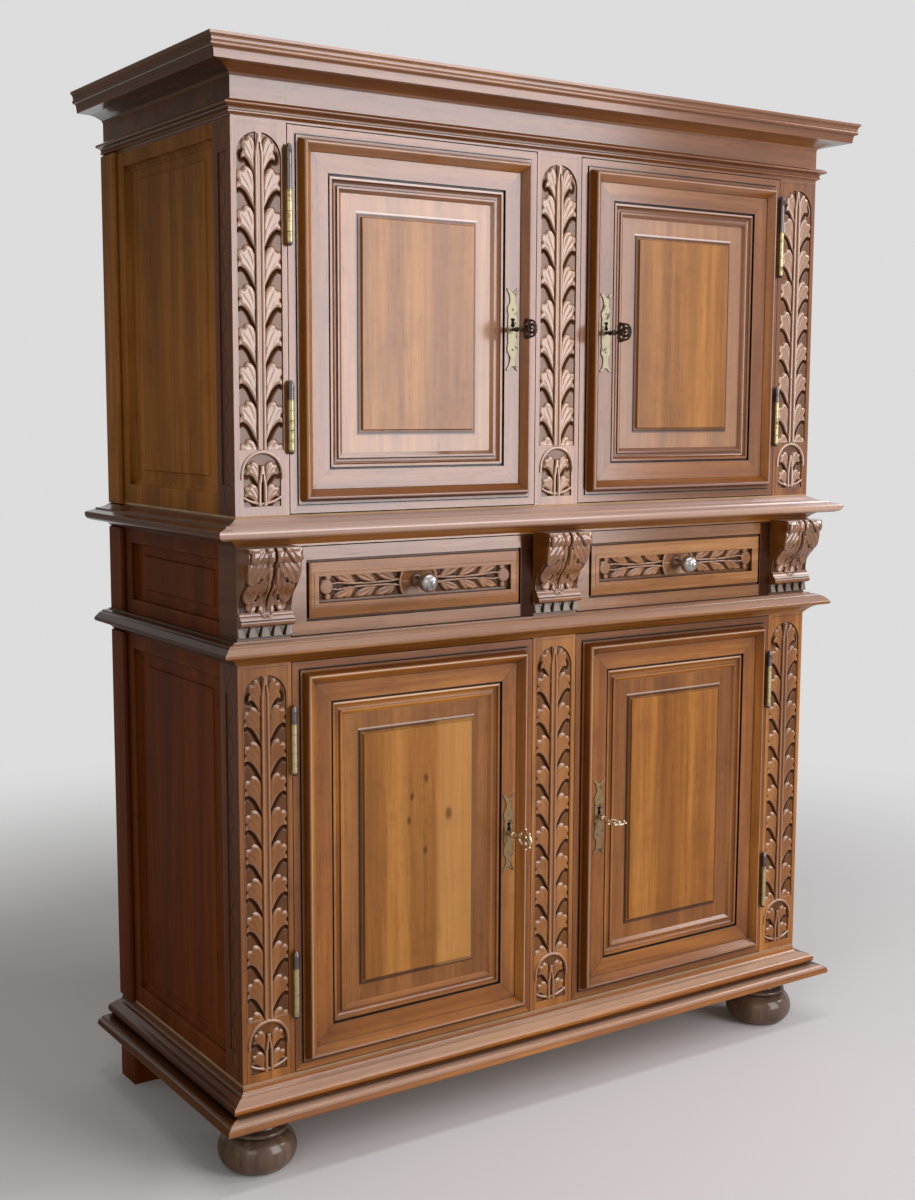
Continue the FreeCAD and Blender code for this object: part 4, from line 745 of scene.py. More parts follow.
# One leaf of a stile, in millimetres from the stem's axis and below the leaf's tip: its three
# lobes, then the curled rim that runs back down to the stem, and the veins up to the lobes.
LEAF_OUTLINE = (
    (5.5, -14), (7.2, -9.5), (10, -5.2), (13.5, -1.8), (17.5, 0), (21.2, -0.2), (23.8, -2.2),
    (24.8, -5.6), (27.0, -6.8), (30.2, -6.4), (32.8, -8.4), (33.9, -12.5), (33.4, -16.6),
    (31.2, -19.4), (31.4, -21.4), (33.2, -23.6), (34.0, -27.5), (33.4, -31.6), (31.4, -30.2),
    (28.6, -29.2), (25.0, -30.6), (21.4, -33.2), (17.7, -37.4), (13.4, -44.6), (9.6, -52.6),
    (5.5, -61.5),
)
LEAF_VEINS = (
    ((6.0, -48), (9.5, -32), (14.5, -18), (19.5, -8)),
    ((6.5, -54), (11.5, -38), (19.5, -24.5), (28.5, -14)),
    ((7.5, -57), (13.5, -43), (20.5, -33), (29.5, -25.5)),
)


def softened(outline):
    """A closed outline with its corners cut twice."""
    places = np.asarray(outline, float)
    for _ in range(2):
        after = np.roll(places, -1, 0)
        pairs = np.stack((places * 0.78 + after * 0.22, places * 0.22 + after * 0.78), 1)
        places = pairs.reshape(-1, 2)
    return places


class Relief:
    """Heights in millimetres over a sheet of points (across, up)."""

    def __init__(self, across, up, ground):
        self.u = across
        self.v = up
        self.height = np.zeros(across.shape) + ground

    def near(self, places, spare):
        """The points about a path, with their places across and up."""
        low = np.min(places, 0) - spare
        high = np.max(places, 0) + spare
        found = np.nonzero(
            (self.u > low[0]) & (self.u < high[0]) & (self.v > low[1]) & (self.v < high[1])
        )[0]
        return found, self.u[found], self.v[found]

    def blade(self, outline, veins, tip, lift, fall, lip=0.3, sense=1, scoop=0.0, flute=0.5,
              roll=5.0):
        """A leaf inside an outline: highest at its tip, puffed between its veins, thinly rimmed."""
        outline = softened(outline)
        found, u, v = self.near(outline, 9.0 if scoop else 0.5)
        inside = np.zeros(len(found), bool)
        for (a, b), (c, d) in zip(outline, np.roll(outline, -1, 0)):
            if b != d:
                crossing = (v > b) != (v > d)
                inside ^= crossing & (u < (c - a) * (v - b) / (d - b) + a)
        edge = nearest(u, v, [*outline, outline[0]])
        vein = nearest(u, v, *veins)
        below = np.clip((tip - v) * sense, 0, None)
        body = lift - fall * (1 - np.exp(-below / 16.0))
        puff = flute * (smooth(0.0, 4.2, vein) - 0.4 * (1 - smooth(0.0, 0.9, vein)))
        rim = lip * (1 - smooth(0.6, 1.7, edge)) * smooth(14, 24, below)
        ground = self.height[found]
        dug = ground - scoop * (1 - smooth(0.0, 7.5, edge)) * smooth(16, 26, below) * ~inside
        rounded = arc(1 - np.clip(edge / roll, 0, 1))
        risen = ground + (body + puff + rim - ground) * rounded
        self.height[found] = np.where(inside, np.maximum(ground, risen), dug)

    def rib(self, places, width, top):
        """A round rib through the given places."""
        found, u, v = self.near(places, width)
        best = nearest(u, v, places)
        half = 0.5 * width
        ground = self.height[found]
        risen = np.maximum(ground, top - half + half * arc(best / half))
        self.height[found] = np.where(best < half, risen, ground)

    def cut(self, places, width, depth):
        """A carved line through the given places."""
        found, u, v = self.near(places, width)
        best = nearest(u, v, places)
        self.height[found] -= depth * (1 - smooth(0.2 * width, 0.5 * width, best))


def sheet(name, low, high, step):
    """A grid over a rectangle: the piece, its points' two places, and its rows of points."""
    columns, rows = (max(4, round((b - a) / step)) for a, b in zip(low, high))
    deselected()
    bpy.ops.mesh.primitive_grid_add(x_subdivisions=columns, y_subdivisions=rows, size=1)
    piece = named(name)
    flat = points(piece)[:, :2] + 0.5
    across, up = (flat * np.subtract(high, low) + low).T
    cells = np.rint(flat * (columns, rows)).astype(int)
    order = np.lexsort((cells[:, 0], cells[:, 1])).reshape(rows + 1, columns + 1)
    return piece, across, up, order


def edge_of(order):
    """The points on the border of a sheet."""
    border = np.zeros(order.size, bool)
    for line in (order[0], order[-1], order[:, 0], order[:, -1]):
        border[line] = True
    return border


def spread(rows, reach):
    """The mean of a grid of heights over a square of cells each way."""
    for axis in (0, 1):
        padded = np.pad(rows, [(reach, reach) if a == axis else (0, 0) for a in (0, 1)], "edge")
        count = rows.shape[axis]
        rows = sum(np.take(padded, range(i, i + count), axis) for i in range(2 * reach + 1))
        rows = rows / (2 * reach + 1)
    return rows


def aged(piece, height, order, deep, floor):
    """Marks painted shade and wax where points lie in, and worn crests with a painted highlight
    where they stand out, from how far each point lies in or out.
    """
    rows = height[order]
    below = np.maximum(spread(rows, 2) * 1.6 - rows * 1.6, spread(rows, 5) - rows)
    shaded_hollow = np.empty(order.size)
    crest = np.empty(order.size)
    shaded_hollow[order] = smooth(0.25 * deep, 1.5 * deep, below)
    shaded_hollow = np.maximum(shaded_hollow, 0.95 * smooth(*floor, -height))
    crest[order] = smooth(0.15 * deep, 1.0 * deep, rows - spread(rows, 4))
    for line in (order[:2], order[-2:], order[:, :2], order[:, -2:]):
        shaded_hollow[line] = crest[line] = 0.0
    paint(piece, "shaded_hollow", shaded_hollow)
    paint(piece, "crest", crest)


def closed(piece, angle=60):
    """Fills the border, turns the faces outwards and shades them."""
    chosen(piece)
    opened()
    bpy.ops.mesh.region_to_loop()
    bpy.ops.mesh.edge_face_add()
    outward()
    bpy.ops.object.shade_smooth_by_angle(angle=math.radians(angle))
    return piece


def carved_sheet(name, relief_of, low, high, step, floor=(0.6, 3.8)):
    """A grid over a rectangle of the front, raised by the relief and closed behind."""
    piece, x, z, order = sheet(name, low, high, step * MM)
    relief, hidden = relief_of(x, z)
    aged(piece, np.maximum(relief.height, -6.0), order, 1.6, floor)
    height = np.where(edge_of(order), hidden, relief.height)
    set_points(piece, np.stack((x, FRONT - height * MM, z), 1))
    return closed(piece)


def leaf_pair(relief, tip, wide=1.0, tall=1.0):
    """The left and right leaf of one pair."""
    for hand in (-1, 1):
        outline, *veins = (
            moved(path, 0, tip, hand * wide, tall) for path in (LEAF_OUTLINE, *LEAF_VEINS)
        )
        relief.blade(outline, veins, tip, 1.6, 2.0, scoop=3.2, flute=0.3)


def stem_ribs(relief, low, high):
    """Two round ribs beside a groove, drawn together into a pointed bud."""
    close = smooth(high - 34, high - 2, relief.v)
    on_stem = (relief.v > low) & (relief.v < high)
    for hand in (-1, 1):
        off = np.abs(relief.u - hand * (4.6 * (1 - close) + 0.6 * close)) / 2.5
        rib = 0.6 + 2.0 * arc(off)
        raised = (off < 1) & on_stem & (rib > relief.height)
        relief.height = np.where(raised, rib, relief.height)
    groove = (np.abs(relief.u) < 2.0 * (1 - close)) & on_stem
    relief.height = np.where(groove, -2.0, relief.height)


# A stile's carving, in millimetres: above its lower end, where the leaves begin and the middle of
# the arch of its foot; then the height of the ground and of what stays hidden in the stile
SPRING, ARCH = 92.0, 57.75
GROUND, HIDDEN = -2.4, -8.0


def stile_relief(middle, low, high):
    """The relief of one carved stile: leaves up the stem, and the arched foot."""
    def relief_of(x, z):
        u, v = (x - middle) / MM, (z - low) / MM
        edge = STILE / 2 / MM - 8.0
        inner = edge - 5.0
        relief = Relief(u, v, GROUND)
        head = (high - low) / MM - settings().stile_head
        run = head - SPRING - 8
        count = round(run / settings().leaf_pitch)
        leaf_pair(relief, head - 5, wide=0.76)
        for index in range(1, count + 1):
            leaf_pair(relief, head - 8 - run / count * (index - 0.28), tall=run / count / 53.0)
        stem_ribs(relief, SPRING - 4, head - 1.5)
        outside = (np.hypot(u, np.clip(v - (head - edge), 0, None)) > edge - 0.2) & (v > SPRING)
        lunette = Relief(u, v, GROUND)
        leaf_pair(lunette, 76, 0.72, 0.62)
        leaf_pair(lunette, 45, 0.80, 0.62)
        stem_ribs(lunette, 13, 70)
        swag = np.abs(v - 17 - (u / 22.0) ** 2 * 5)
        swag_height = np.where(swag < 2, 1.2 - 0.3 * swag ** 2, -9.0)
        foot = v <= SPRING
        ring = np.where(v > ARCH, np.hypot(u, v - ARCH), np.abs(u))
        inside = foot & (ring < inner) & (v > 13.2)
        lunette_height = np.maximum(lunette.height, swag_height)
        relief.height = np.where(inside, lunette_height, relief.height)
        off = ring - inner - 2.2
        on_band = foot & (np.abs(off) < 2.45) & (v > ARCH - 8)
        relief.height = np.where(on_band, np.maximum(2.2 * arc(off / 2.5), 0.2), relief.height)
        hidden = outside | (foot & ~inside & ~on_band)
        relief.height = np.where(hidden, HIDDEN, relief.height)
        return relief, HIDDEN
    return relief_of


class BUFFET_OT_stile_carving(bpy.types.Operator):
    """Carves the running leaves of the six stiles"""
    bl_idname = "buffet.stile_carving"
    bl_label = "Carve the stiles"

    def execute(self, context):
        material = carved_finish("Carved leaf walnut")
        half = STILE / 2 - 7.6 * MM
        for stage in STAGES:
            for side, middle in STILES:
                low, high = (corner.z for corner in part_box(f"{stage}_{side}_pilaster"))
                piece = carved_sheet(
                    f"{stage}_{side}_leaves", stile_relief(middle, low, high),
                    (middle - half, low + 12.6 * MM), (middle + half, high - 7.6 * MM),
                    settings().carving_step,
                )
                finished(piece, "carcase", material, "carved_walnut")
        return {"FINISHED"}


# Turned and cast pieces

def turned(name, profile, segments=40):
    """A shape turned about Z: a disc drawn out and resized from step to step of its profile."""
    deselected()
    radius, level = profile[0]
    bpy.ops.mesh.primitive_circle_add(
        vertices=segments, radius=radius * MM, location=(0, 0, level * MM), fill_type="NGON"
    )
    piece = settled(named(name))
    opened()
    for wider, higher in profile[1:]:
        step = (0, 0, (higher - level) * MM)
        bpy.ops.mesh.extrude_region_move(TRANSFORM_OT_translate={"value": step})
        share = wider / radius
        bpy.ops.transform.resize(value=(share, share, 1), center_override=(0, 0, higher * MM))
        radius, level = wider, higher
    outward()
    bpy.ops.object.shade_smooth_by_angle(angle=math.radians(40))
    return piece


def placed(piece, place, turn=(0, 0, 0), size=(1, 1, 1)):
    """Sizes, turns and moves a piece, place in millimetres and turn in degrees."""
    piece.scale = size
    piece.rotation_euler = [math.radians(angle) for angle in turn]
    piece.location = [value * MM for value in place]
    return settled(piece)


def ring(radius, thick):
    """A round wire bent to a ring about Z."""
    deselected()
    bpy.ops.mesh.primitive_torus_add(
        major_radius=radius * MM, minor_radius=thick * MM, major_segments=36, minor_segments=10
    )
    bpy.ops.object.shade_smooth()
    return named("bow")


def ball(name, radius, segments, rings, place, size):
    """A small ball, pressed out of round."""
    deselected()
    bpy.ops.mesh.primitive_uv_sphere_add(segments=segments, ring_count=rings, radius=radius * MM)
    bpy.ops.object.shade_smooth()
    return placed(named(name), place, size=size)


def block(name, place, size):
    deselected()
    bpy.ops.mesh.primitive_cube_add(size=MM)
    return placed(named(name), place, size=size)


def joined(name, *pieces):
    chosen(pieces[0])
    for piece in pieces:
        piece.select_set(True)
    bpy.ops.object.join()
    return named(name)


def copied(piece, move):
    """A copy with its own mesh, moved by millimetres."""
    copy = piece.copy()
    copy.data = piece.data.copy()
    bpy.context.scene.collection.objects.link(copy)
    copy.data.transform(Matrix.Translation([value * MM for value in move]))
    return copy


# Corbels

# Half of a corbel's leaf, in millimetres from its groove and above its foot, from the lowest
# lobe up: each lobe's outline and veins, the level of its tip, its lift and its fall
CORBEL_LOBES = (
    (((0, 30.5), (5, 31), (8, 35), (11, 39.5), (15, 42), (19, 39.5), (25, 39), (30, 42), (33, 48),
      (31, 56), (24, 63), (15, 71), (6, 79), (0, 83)),
     (((1, 78), (8, 62), (15, 48)), ((3, 79), (17, 61), (27, 46)), ((0, 72), (3, 50), (4, 38))),
     31, 0.2, 2.4),
    (((2, 107), (3, 88), (6, 72), (11, 61), (16, 56), (20, 57.5), (24, 53), (30, 51), (35, 53.5),
      (39, 60), (40, 69), (37, 78), (30, 86), (20, 94), (10, 104)),
     (((4, 101), (13, 82), (19, 63)), ((6, 102), (20, 84), (29, 60)),
      ((9, 103), (26, 88), (37, 69))), 51, 1.1, 2.8),
    (((2, 128), (4, 110), (9, 98), (15, 88.5), (21, 83), (26, 84.5), (31, 80), (37, 80),
      (41, 84), (43, 92), (43, 108), (40, 113), (32, 117), (22, 121), (10, 129)),
     (((5, 123), (15, 103), (24, 89)), ((8, 125), (22, 107), (34, 87)),
      ((13, 125), (28, 112), (40, 97))), 80, 1.8, 2.6),
    (((13, 135), (17, 125), (22, 118), (28, 112.5), (34, 110.5), (39, 113.5), (40.5, 120),
      (38.5, 125), (43, 127), (43, 135)),
     (((18, 132), (27, 120), (35, 115)),), 110, 4.0, 1.0),
)
CORBEL_EYES = (((17.5, 57), (15, 63)), ((22.5, 83.5), (19.5, 89)), ((16, 42), (13.5, 47)))


def corbel_face():
    """The corbel's profile as the solid has it: heights, and how far it stands out at each."""
    places = points(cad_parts["corbels"])
    rim = places[(places[:, 0] < -HALF + 0.0002) & (places[:, 1] < FRONT - 0.001)]
    rim = rim[rim[:, 2] > BELT_HIGH - 0.1135]
    levels = np.unique(np.round(rim[:, 2], 5))
    proud = [FRONT - rim[np.abs(rim[:, 2] - level) < 1e-5, 1] for level in levels]
    out = [proud[0].min(), *(row.max() for row in proud)]
    return np.array([levels[0], *levels]), np.array(out)


def corbel_relief(u, v):
    """Half leaves either side of the groove, over the block cut back behind them."""
    relief = Relief(u, v, -4.4 * smooth(38.6, 41.5, v) * (1 - smooth(104, 116, v)))
    for outline, veins, *rise in CORBEL_LOBES:
        for hand in (-1, 1):
            lobe, *lines = (moved(path, wide=hand) for path in (outline, *veins))
            relief.blade(lobe, lines, *rise, sense=-1, flute=0.8)
    for eye in CORBEL_EYES:
        for hand in (-1, 1):
            relief.cut(moved(eye, wide=hand), 5.0, 3.2)
    cove = 1.0 - 2.6 * np.sqrt(np.clip((v - 29.5) / 9.0, 0, 1))
    plinth = np.where(v < 28, 0.9, cove) - 2.2 * (1 - smooth(0.2, 1.0, np.abs(v - 28.6)))
    relief.height = np.where((v < 39.5) & (relief.height < 0.1), plinth, relief.height)
    wider = smooth(45, 125, v)
    off = (np.abs(u) - 2.2 - 4.6 * wider) / (1.5 + 4.0 * wider)
    rib = relief.height + 2.4 * arc(off) * smooth(42, 60, v)
    relief.height = np.where(np.abs(off) < 1, rib, relief.height)
    groove = (1 - smooth(0.7, 1.9, np.abs(u))) * smooth(44, 52, v)
    relief.height = relief.height * (1 - groove) - 3.6 * groove
    return relief


class BUFFET_OT_corbels(bpy.types.Operator):
    """Carves the three S-shaped corbels and cuts the drops under them"""
    bl_idname = "buffet.corbels"
    bl_label = "Carve the corbels"

    def execute(self, context):
        material = carved_finish("Carved corbel walnut", coat=1.25)
        face = corbel_face()
        leaves = joined("corbel_leaves", *(self.leaf(middle, *face) for _, middle in STILES))
        finished(leaves, "carcase", material, "carved_walnut", "corbels")
        plain = straight_finish("Drop walnut", "z", "drop", coat=0.4)
        finished(self.drops(), "carcase", plain, "walnut")
        return {"FINISHED"}

    def leaf(self, middle, levels, out):
        """A sheet laid over a corbel's profile and raised square to it."""
        length = np.concatenate(((0.0,), np.cumsum(np.hypot(np.diff(levels), np.diff(out)))))
        half, far = STILE / 2, length[-1]
        step = settings().carving_step * MM
        piece, x, s, order = sheet("corbel", (-half - step, -step), (half + step, far + step), step)
        x = np.clip(x, -half, half)
        s = np.clip(s, 0, far)
        near = 1.5 * MM
        places = (s, np.clip(s - near, 0, far), np.clip(s + near, 0, far))
        z, z_behind, z_ahead = (np.interp(place, length, levels) for place in places)
        proud, behind, ahead = (np.interp(place, length, out) for place in places)
        rise, reach = z_ahead - z_behind, ahead - behind
        size = np.hypot(rise, reach)
        relief = corbel_relief(x / MM, (z - BELT_HIGH) / MM + 133)
        aged(piece, relief.height, order, 1.3, (1.6, 5.0))
        height = relief.height * MM
        border = edge_of(order)
        y = np.where(border, FRONT, FRONT - proud - height * rise / size)
        up = np.minimum(z - height * reach / size, BELT_HIGH - 0.0002)
        set_points(piece, np.stack((x + middle, y, np.where(border, z, up)), 1))
        return closed(piece, 50)

    def drops(self):
        """A tapered drop copied to three rows of five, the outer ones cut by the block."""
        level = BELT_HIGH - 0.1218
        piece = block("drop", (0, FRONT / MM - 3, level / MM), (14.8, 6, 14.6))
        places = points(piece)
        top = places[:, 2] > level
        front = places[:, 1] < FRONT - 0.003
        places[top, 0] *= 0.5
        places[top & front, 1] += 0.0028
        places[~top & front, 2] += 0.001
        set_points(piece, places)
        modified(piece, "BEVEL", width=0.0005, segments=2)
        rows = []
        for _, middle in STILES:
            for index in range(-2, 3):
                drop = copied(piece, ((middle + index * 0.0193) / MM, 0, 0))
                places = points(drop)
                places[:, 0] = np.clip(places[:, 0], middle - STILE / 2, middle + STILE / 2)
                set_points(drop, places)
                rows.append(drop)
        bpy.data.objects.remove(piece)
        return joined("corbel_drops", *rows)


# Drawers

# A leaf of a drawer's band, in millimetres from its root and above the band's middle
BAND_LEAF = (
    (0, 1.4), (11, 2.2), (21, 3.8), (31, 8), (38, 13.4), (42, 19.6), (36.5, 18), (32, 19.6),
    (26, 19.4), (22.5, 17.4), (18, 19), (12.5, 18), (8, 13), (3.5, 6.5),
)
BAND_VEINS = (((4, 4.4), (16, 8), (30, 14)), ((5, 6), (13, 11), (19, 17)))
BAND_LOBES = (((157, 0), 11.5), ((154, 14), 5.6), ((155, -14.5), 5.2))
BAND_RIB = ((32, 4.6), (50, 2.4), (85, 1.9), (115, 2.6), (138, 5), (150, 3.5))
# A band's reach beside its middle level, and its two ends from the buffet's middle
BAND_HALF, BAND_ENDS = 19.4, (88, 428)
# A drawer front's steps from its side and from its top or bottom, and the height behind each
FRONT_STEPS = (0, 0.1, 24, 24.3, 28.2, 28.5, 29.6, 36.2, 36.8, 43.9, 44.05)
FRONT_RISES = (0, 0.1, 19, 19.3, 23.2, 23.5, 24.6, 38.4, 39.0, 43.9, 44.05)
FRONT_HEIGHTS = (-22.0, 0, 0, -4, -4, 0.6, 1.0, 1.0, 1.7, 1.7, -5.4)
# A knob from the rose on the boss to the tip: radius, and how far it stands out
KNOB_PROFILE = (
    (8.0, -5.6), (7.6, -3.0), (6.4, -1.0), (5.2, 2), (4.8, 8), (4.8, 13.4), (5.6, 14.6),
    (8.4, 15.8), (12.0, 17.8), (14.2, 21), (14.8, 25), (14.0, 29), (11.8, 32.6), (8.6, 35.2),
    (5.8, 36.7), (4.4, 37.2), (4.1, 38.4), (2.8, 39.6), (0.2, 40.1),
)


def band_relief(x, z):
    """Three pairs of leaves along two ribs, from the boss out to a three-lobed end."""
    s = np.abs(np.abs(x) - BOSS_X) / MM
    w = (z - BELT_MIDDLE) / MM
    relief = Relief(s, w, -4.6)
    for root in (35, 70, 105):
        for tall in (-0.96, 1.0):
            leaf, *veins = (moved(path, root, tall=tall) for path in (BAND_LEAF, *BAND_VEINS))
            relief.blade(leaf, veins, 0, 0.2, 0, lip=0, roll=3.2)
    circle = np.linspace(0, 2 * math.pi, 17)[:-1]
    for place, radius in BAND_LOBES:
        disc = radius * np.stack((np.cos(circle), np.sin(circle)), 1) + place
        relief.blade(disc, (), 0, 0.4, 0, lip=0, roll=2.0)
    for hand in (-1, 1):
        relief.rib(moved(BAND_RIB, tall=hand), 2.6, 0.7)
    radius = np.hypot(s, w)
    turn = np.arctan2(w, x - np.sign(x) * BOSS_X)
    dish = np.interp(radius, (0, 8, 9, 28.5, 30), (-1.4, -1.4, -4.4, -1.8, 0.6))
    on_wall = smooth(9, 14, radius) * (1 - smooth(27, 29, radius))
    dish += 1.5 * np.abs(np.sin(turn * 12)) ** 0.7 * on_wall
    dish += 0.8 * arc((radius - 31.8) / 2.4)
    relief.height = np.where(radius < 34, dish, relief.height)
    return relief, -5.6


class BUFFET_OT_drawers(bpy.types.Operator):
    """Carves the bands and bosses of the drawers and turns their knobs"""
    bl_idname = "buffet.drawers"
    bl_label = "Carve the drawers"

    def execute(self, context):
        carving = carved_finish("Carved drawer walnut", "drawer", 0.4)
        colour, patina = (0.40, 0.38, 0.37), (0.16, 0.14, 0.13)
        metal = metal_finish("Knob gunmetal", colour, patina, 0.26, cover=0.2)
        board = drawer_finish()
        for side, hand in HANDS:
            body = f"{side}_drawer"
            near, far = sorted(hand * end * MM for end in BAND_ENDS)
            band = carved_sheet(
                f"{body}_band", band_relief, (near, BELT_MIDDLE - BAND_HALF * MM),
                (far, BELT_MIDDLE + BAND_HALF * MM), settings().carving_step * 0.8, (2.4, 5.4),
            )
            finished(band, body, carving, "carved_walnut")
            finished(self.front(side), body, board, "walnut", f"{body}_front")
            place = (hand * BOSS_X / MM, FRONT / MM - 3, BELT_MIDDLE / MM)
            knob = placed(turned(f"{side}_knob", KNOB_PROFILE), place, (90, 0, 0))
            finished(knob, body, metal, "gunmetal", f"{body}_knob")
        return {"FINISHED"}

    def front(self, side):
        """A drawer's front: flat margin, groove, raised panel in two levels, and the sunk band."""
        low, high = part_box(f"{side}_drawer_front")

        def both(first, length):
            return np.array([*first, *(length - place for place in reversed(first))])

        across = both(FRONT_STEPS, (high.x - low.x) / MM)
        up = both(FRONT_RISES, (high.z - low.z) / MM)
        last = len(across) - 1
        piece, x, z, order = sheet(f"{side}_front", (0, 0), (last, last), 1)
        column, row = np.rint(x).astype(int), np.rint(z).astype(int)
        inward = np.minimum.reduce((column, last - column, row, last - row))
        height = np.array(FRONT_HEIGHTS)[inward]
        places = (low.x + across[column] * MM, FRONT - height * MM, low.z + up[row] * MM)
        set_points(piece, np.stack(places, 1))
        return closed(piece, 25)


# Escutcheons, keys and hinge rings, in millimetres

# Half of a plate's upper half, from its middle: horn, neck, bulge and body
PLATE_OUTLINE = (
    (0, 55.2), (2.6, 56.6), (5.6, 59.8), (8.6, 62.2), (11.3, 61.8), (11.2, 59.0), (8.8, 56.8),
    (6.6, 52.6), (5.4, 47), (5.2, 42), (6.6, 38.2), (9.2, 34.6), (10.4, 30.2), (10.0, 25.8),
    (8.2, 22.0), (8.0, 19.4), (9.0, 17.2), (9.2, 8),
)
# Radius and reach of each step of a key's shaft, from its hidden end to its tip
KEY_SHAFTS = {
    "lower": (
        (2.6, -19.3), (2.6, 8), (3.6, 8.6), (3.6, 9.6), (4.4, 11), (5.2, 13.2), (5.5, 15.6),
        (5.2, 18), (4.2, 20.2), (3.3, 21), (4.4, 22), (4.4, 24), (3.2, 26.5), (2.6, 29),
        (2.2, 33), (2.0, 44), (1.9, 60), (0.4, 61),
    ),
    "upper": (
        (2.6, -19.3), (2.6, 14), (3.8, 14.6), (4.2, 16), (3.8, 17.4), (2.9, 18.2), (2.9, 24),
        (3.9, 25), (4.4, 27), (3.9, 29), (2.8, 30), (2.3, 33), (2.0, 42), (1.9, 56), (0.4, 57),
    ),
}
# The rings of a key's bow: how far out and up, radius, and half the thickness
KEY_RINGS = {
    "lower": (
        (49, 0, 15.2, 1.9), (44.0, 8.2, 5.6, 1.4), (44.0, -8.2, 5.6, 1.4), (56.0, 5.2, 5.2, 1.4),
        (56.0, -5.2, 5.2, 1.4),
    ),
    "upper": (
        (43, 8.6, 6.6, 2.4), (43, -8.6, 6.6, 2.4), (55.5, 0, 7.6, 2.6), (51.2, 0, 15.6, 1.9),
    ),
}
# Where the keys turn: beside the buffet's middle, and up
KEY_ASIDE, KEY_LEVELS = 91.5, {"lower": 453.75, "upper": 1241.25}
# The hinges' axes, the lower ends of their barrels and the barrels' length
HINGE_X, HINGE_Y = 472.75, -199
HINGE_STARTS, BARREL = (235.5, 600.0, 1061.5, 1349.0), 72


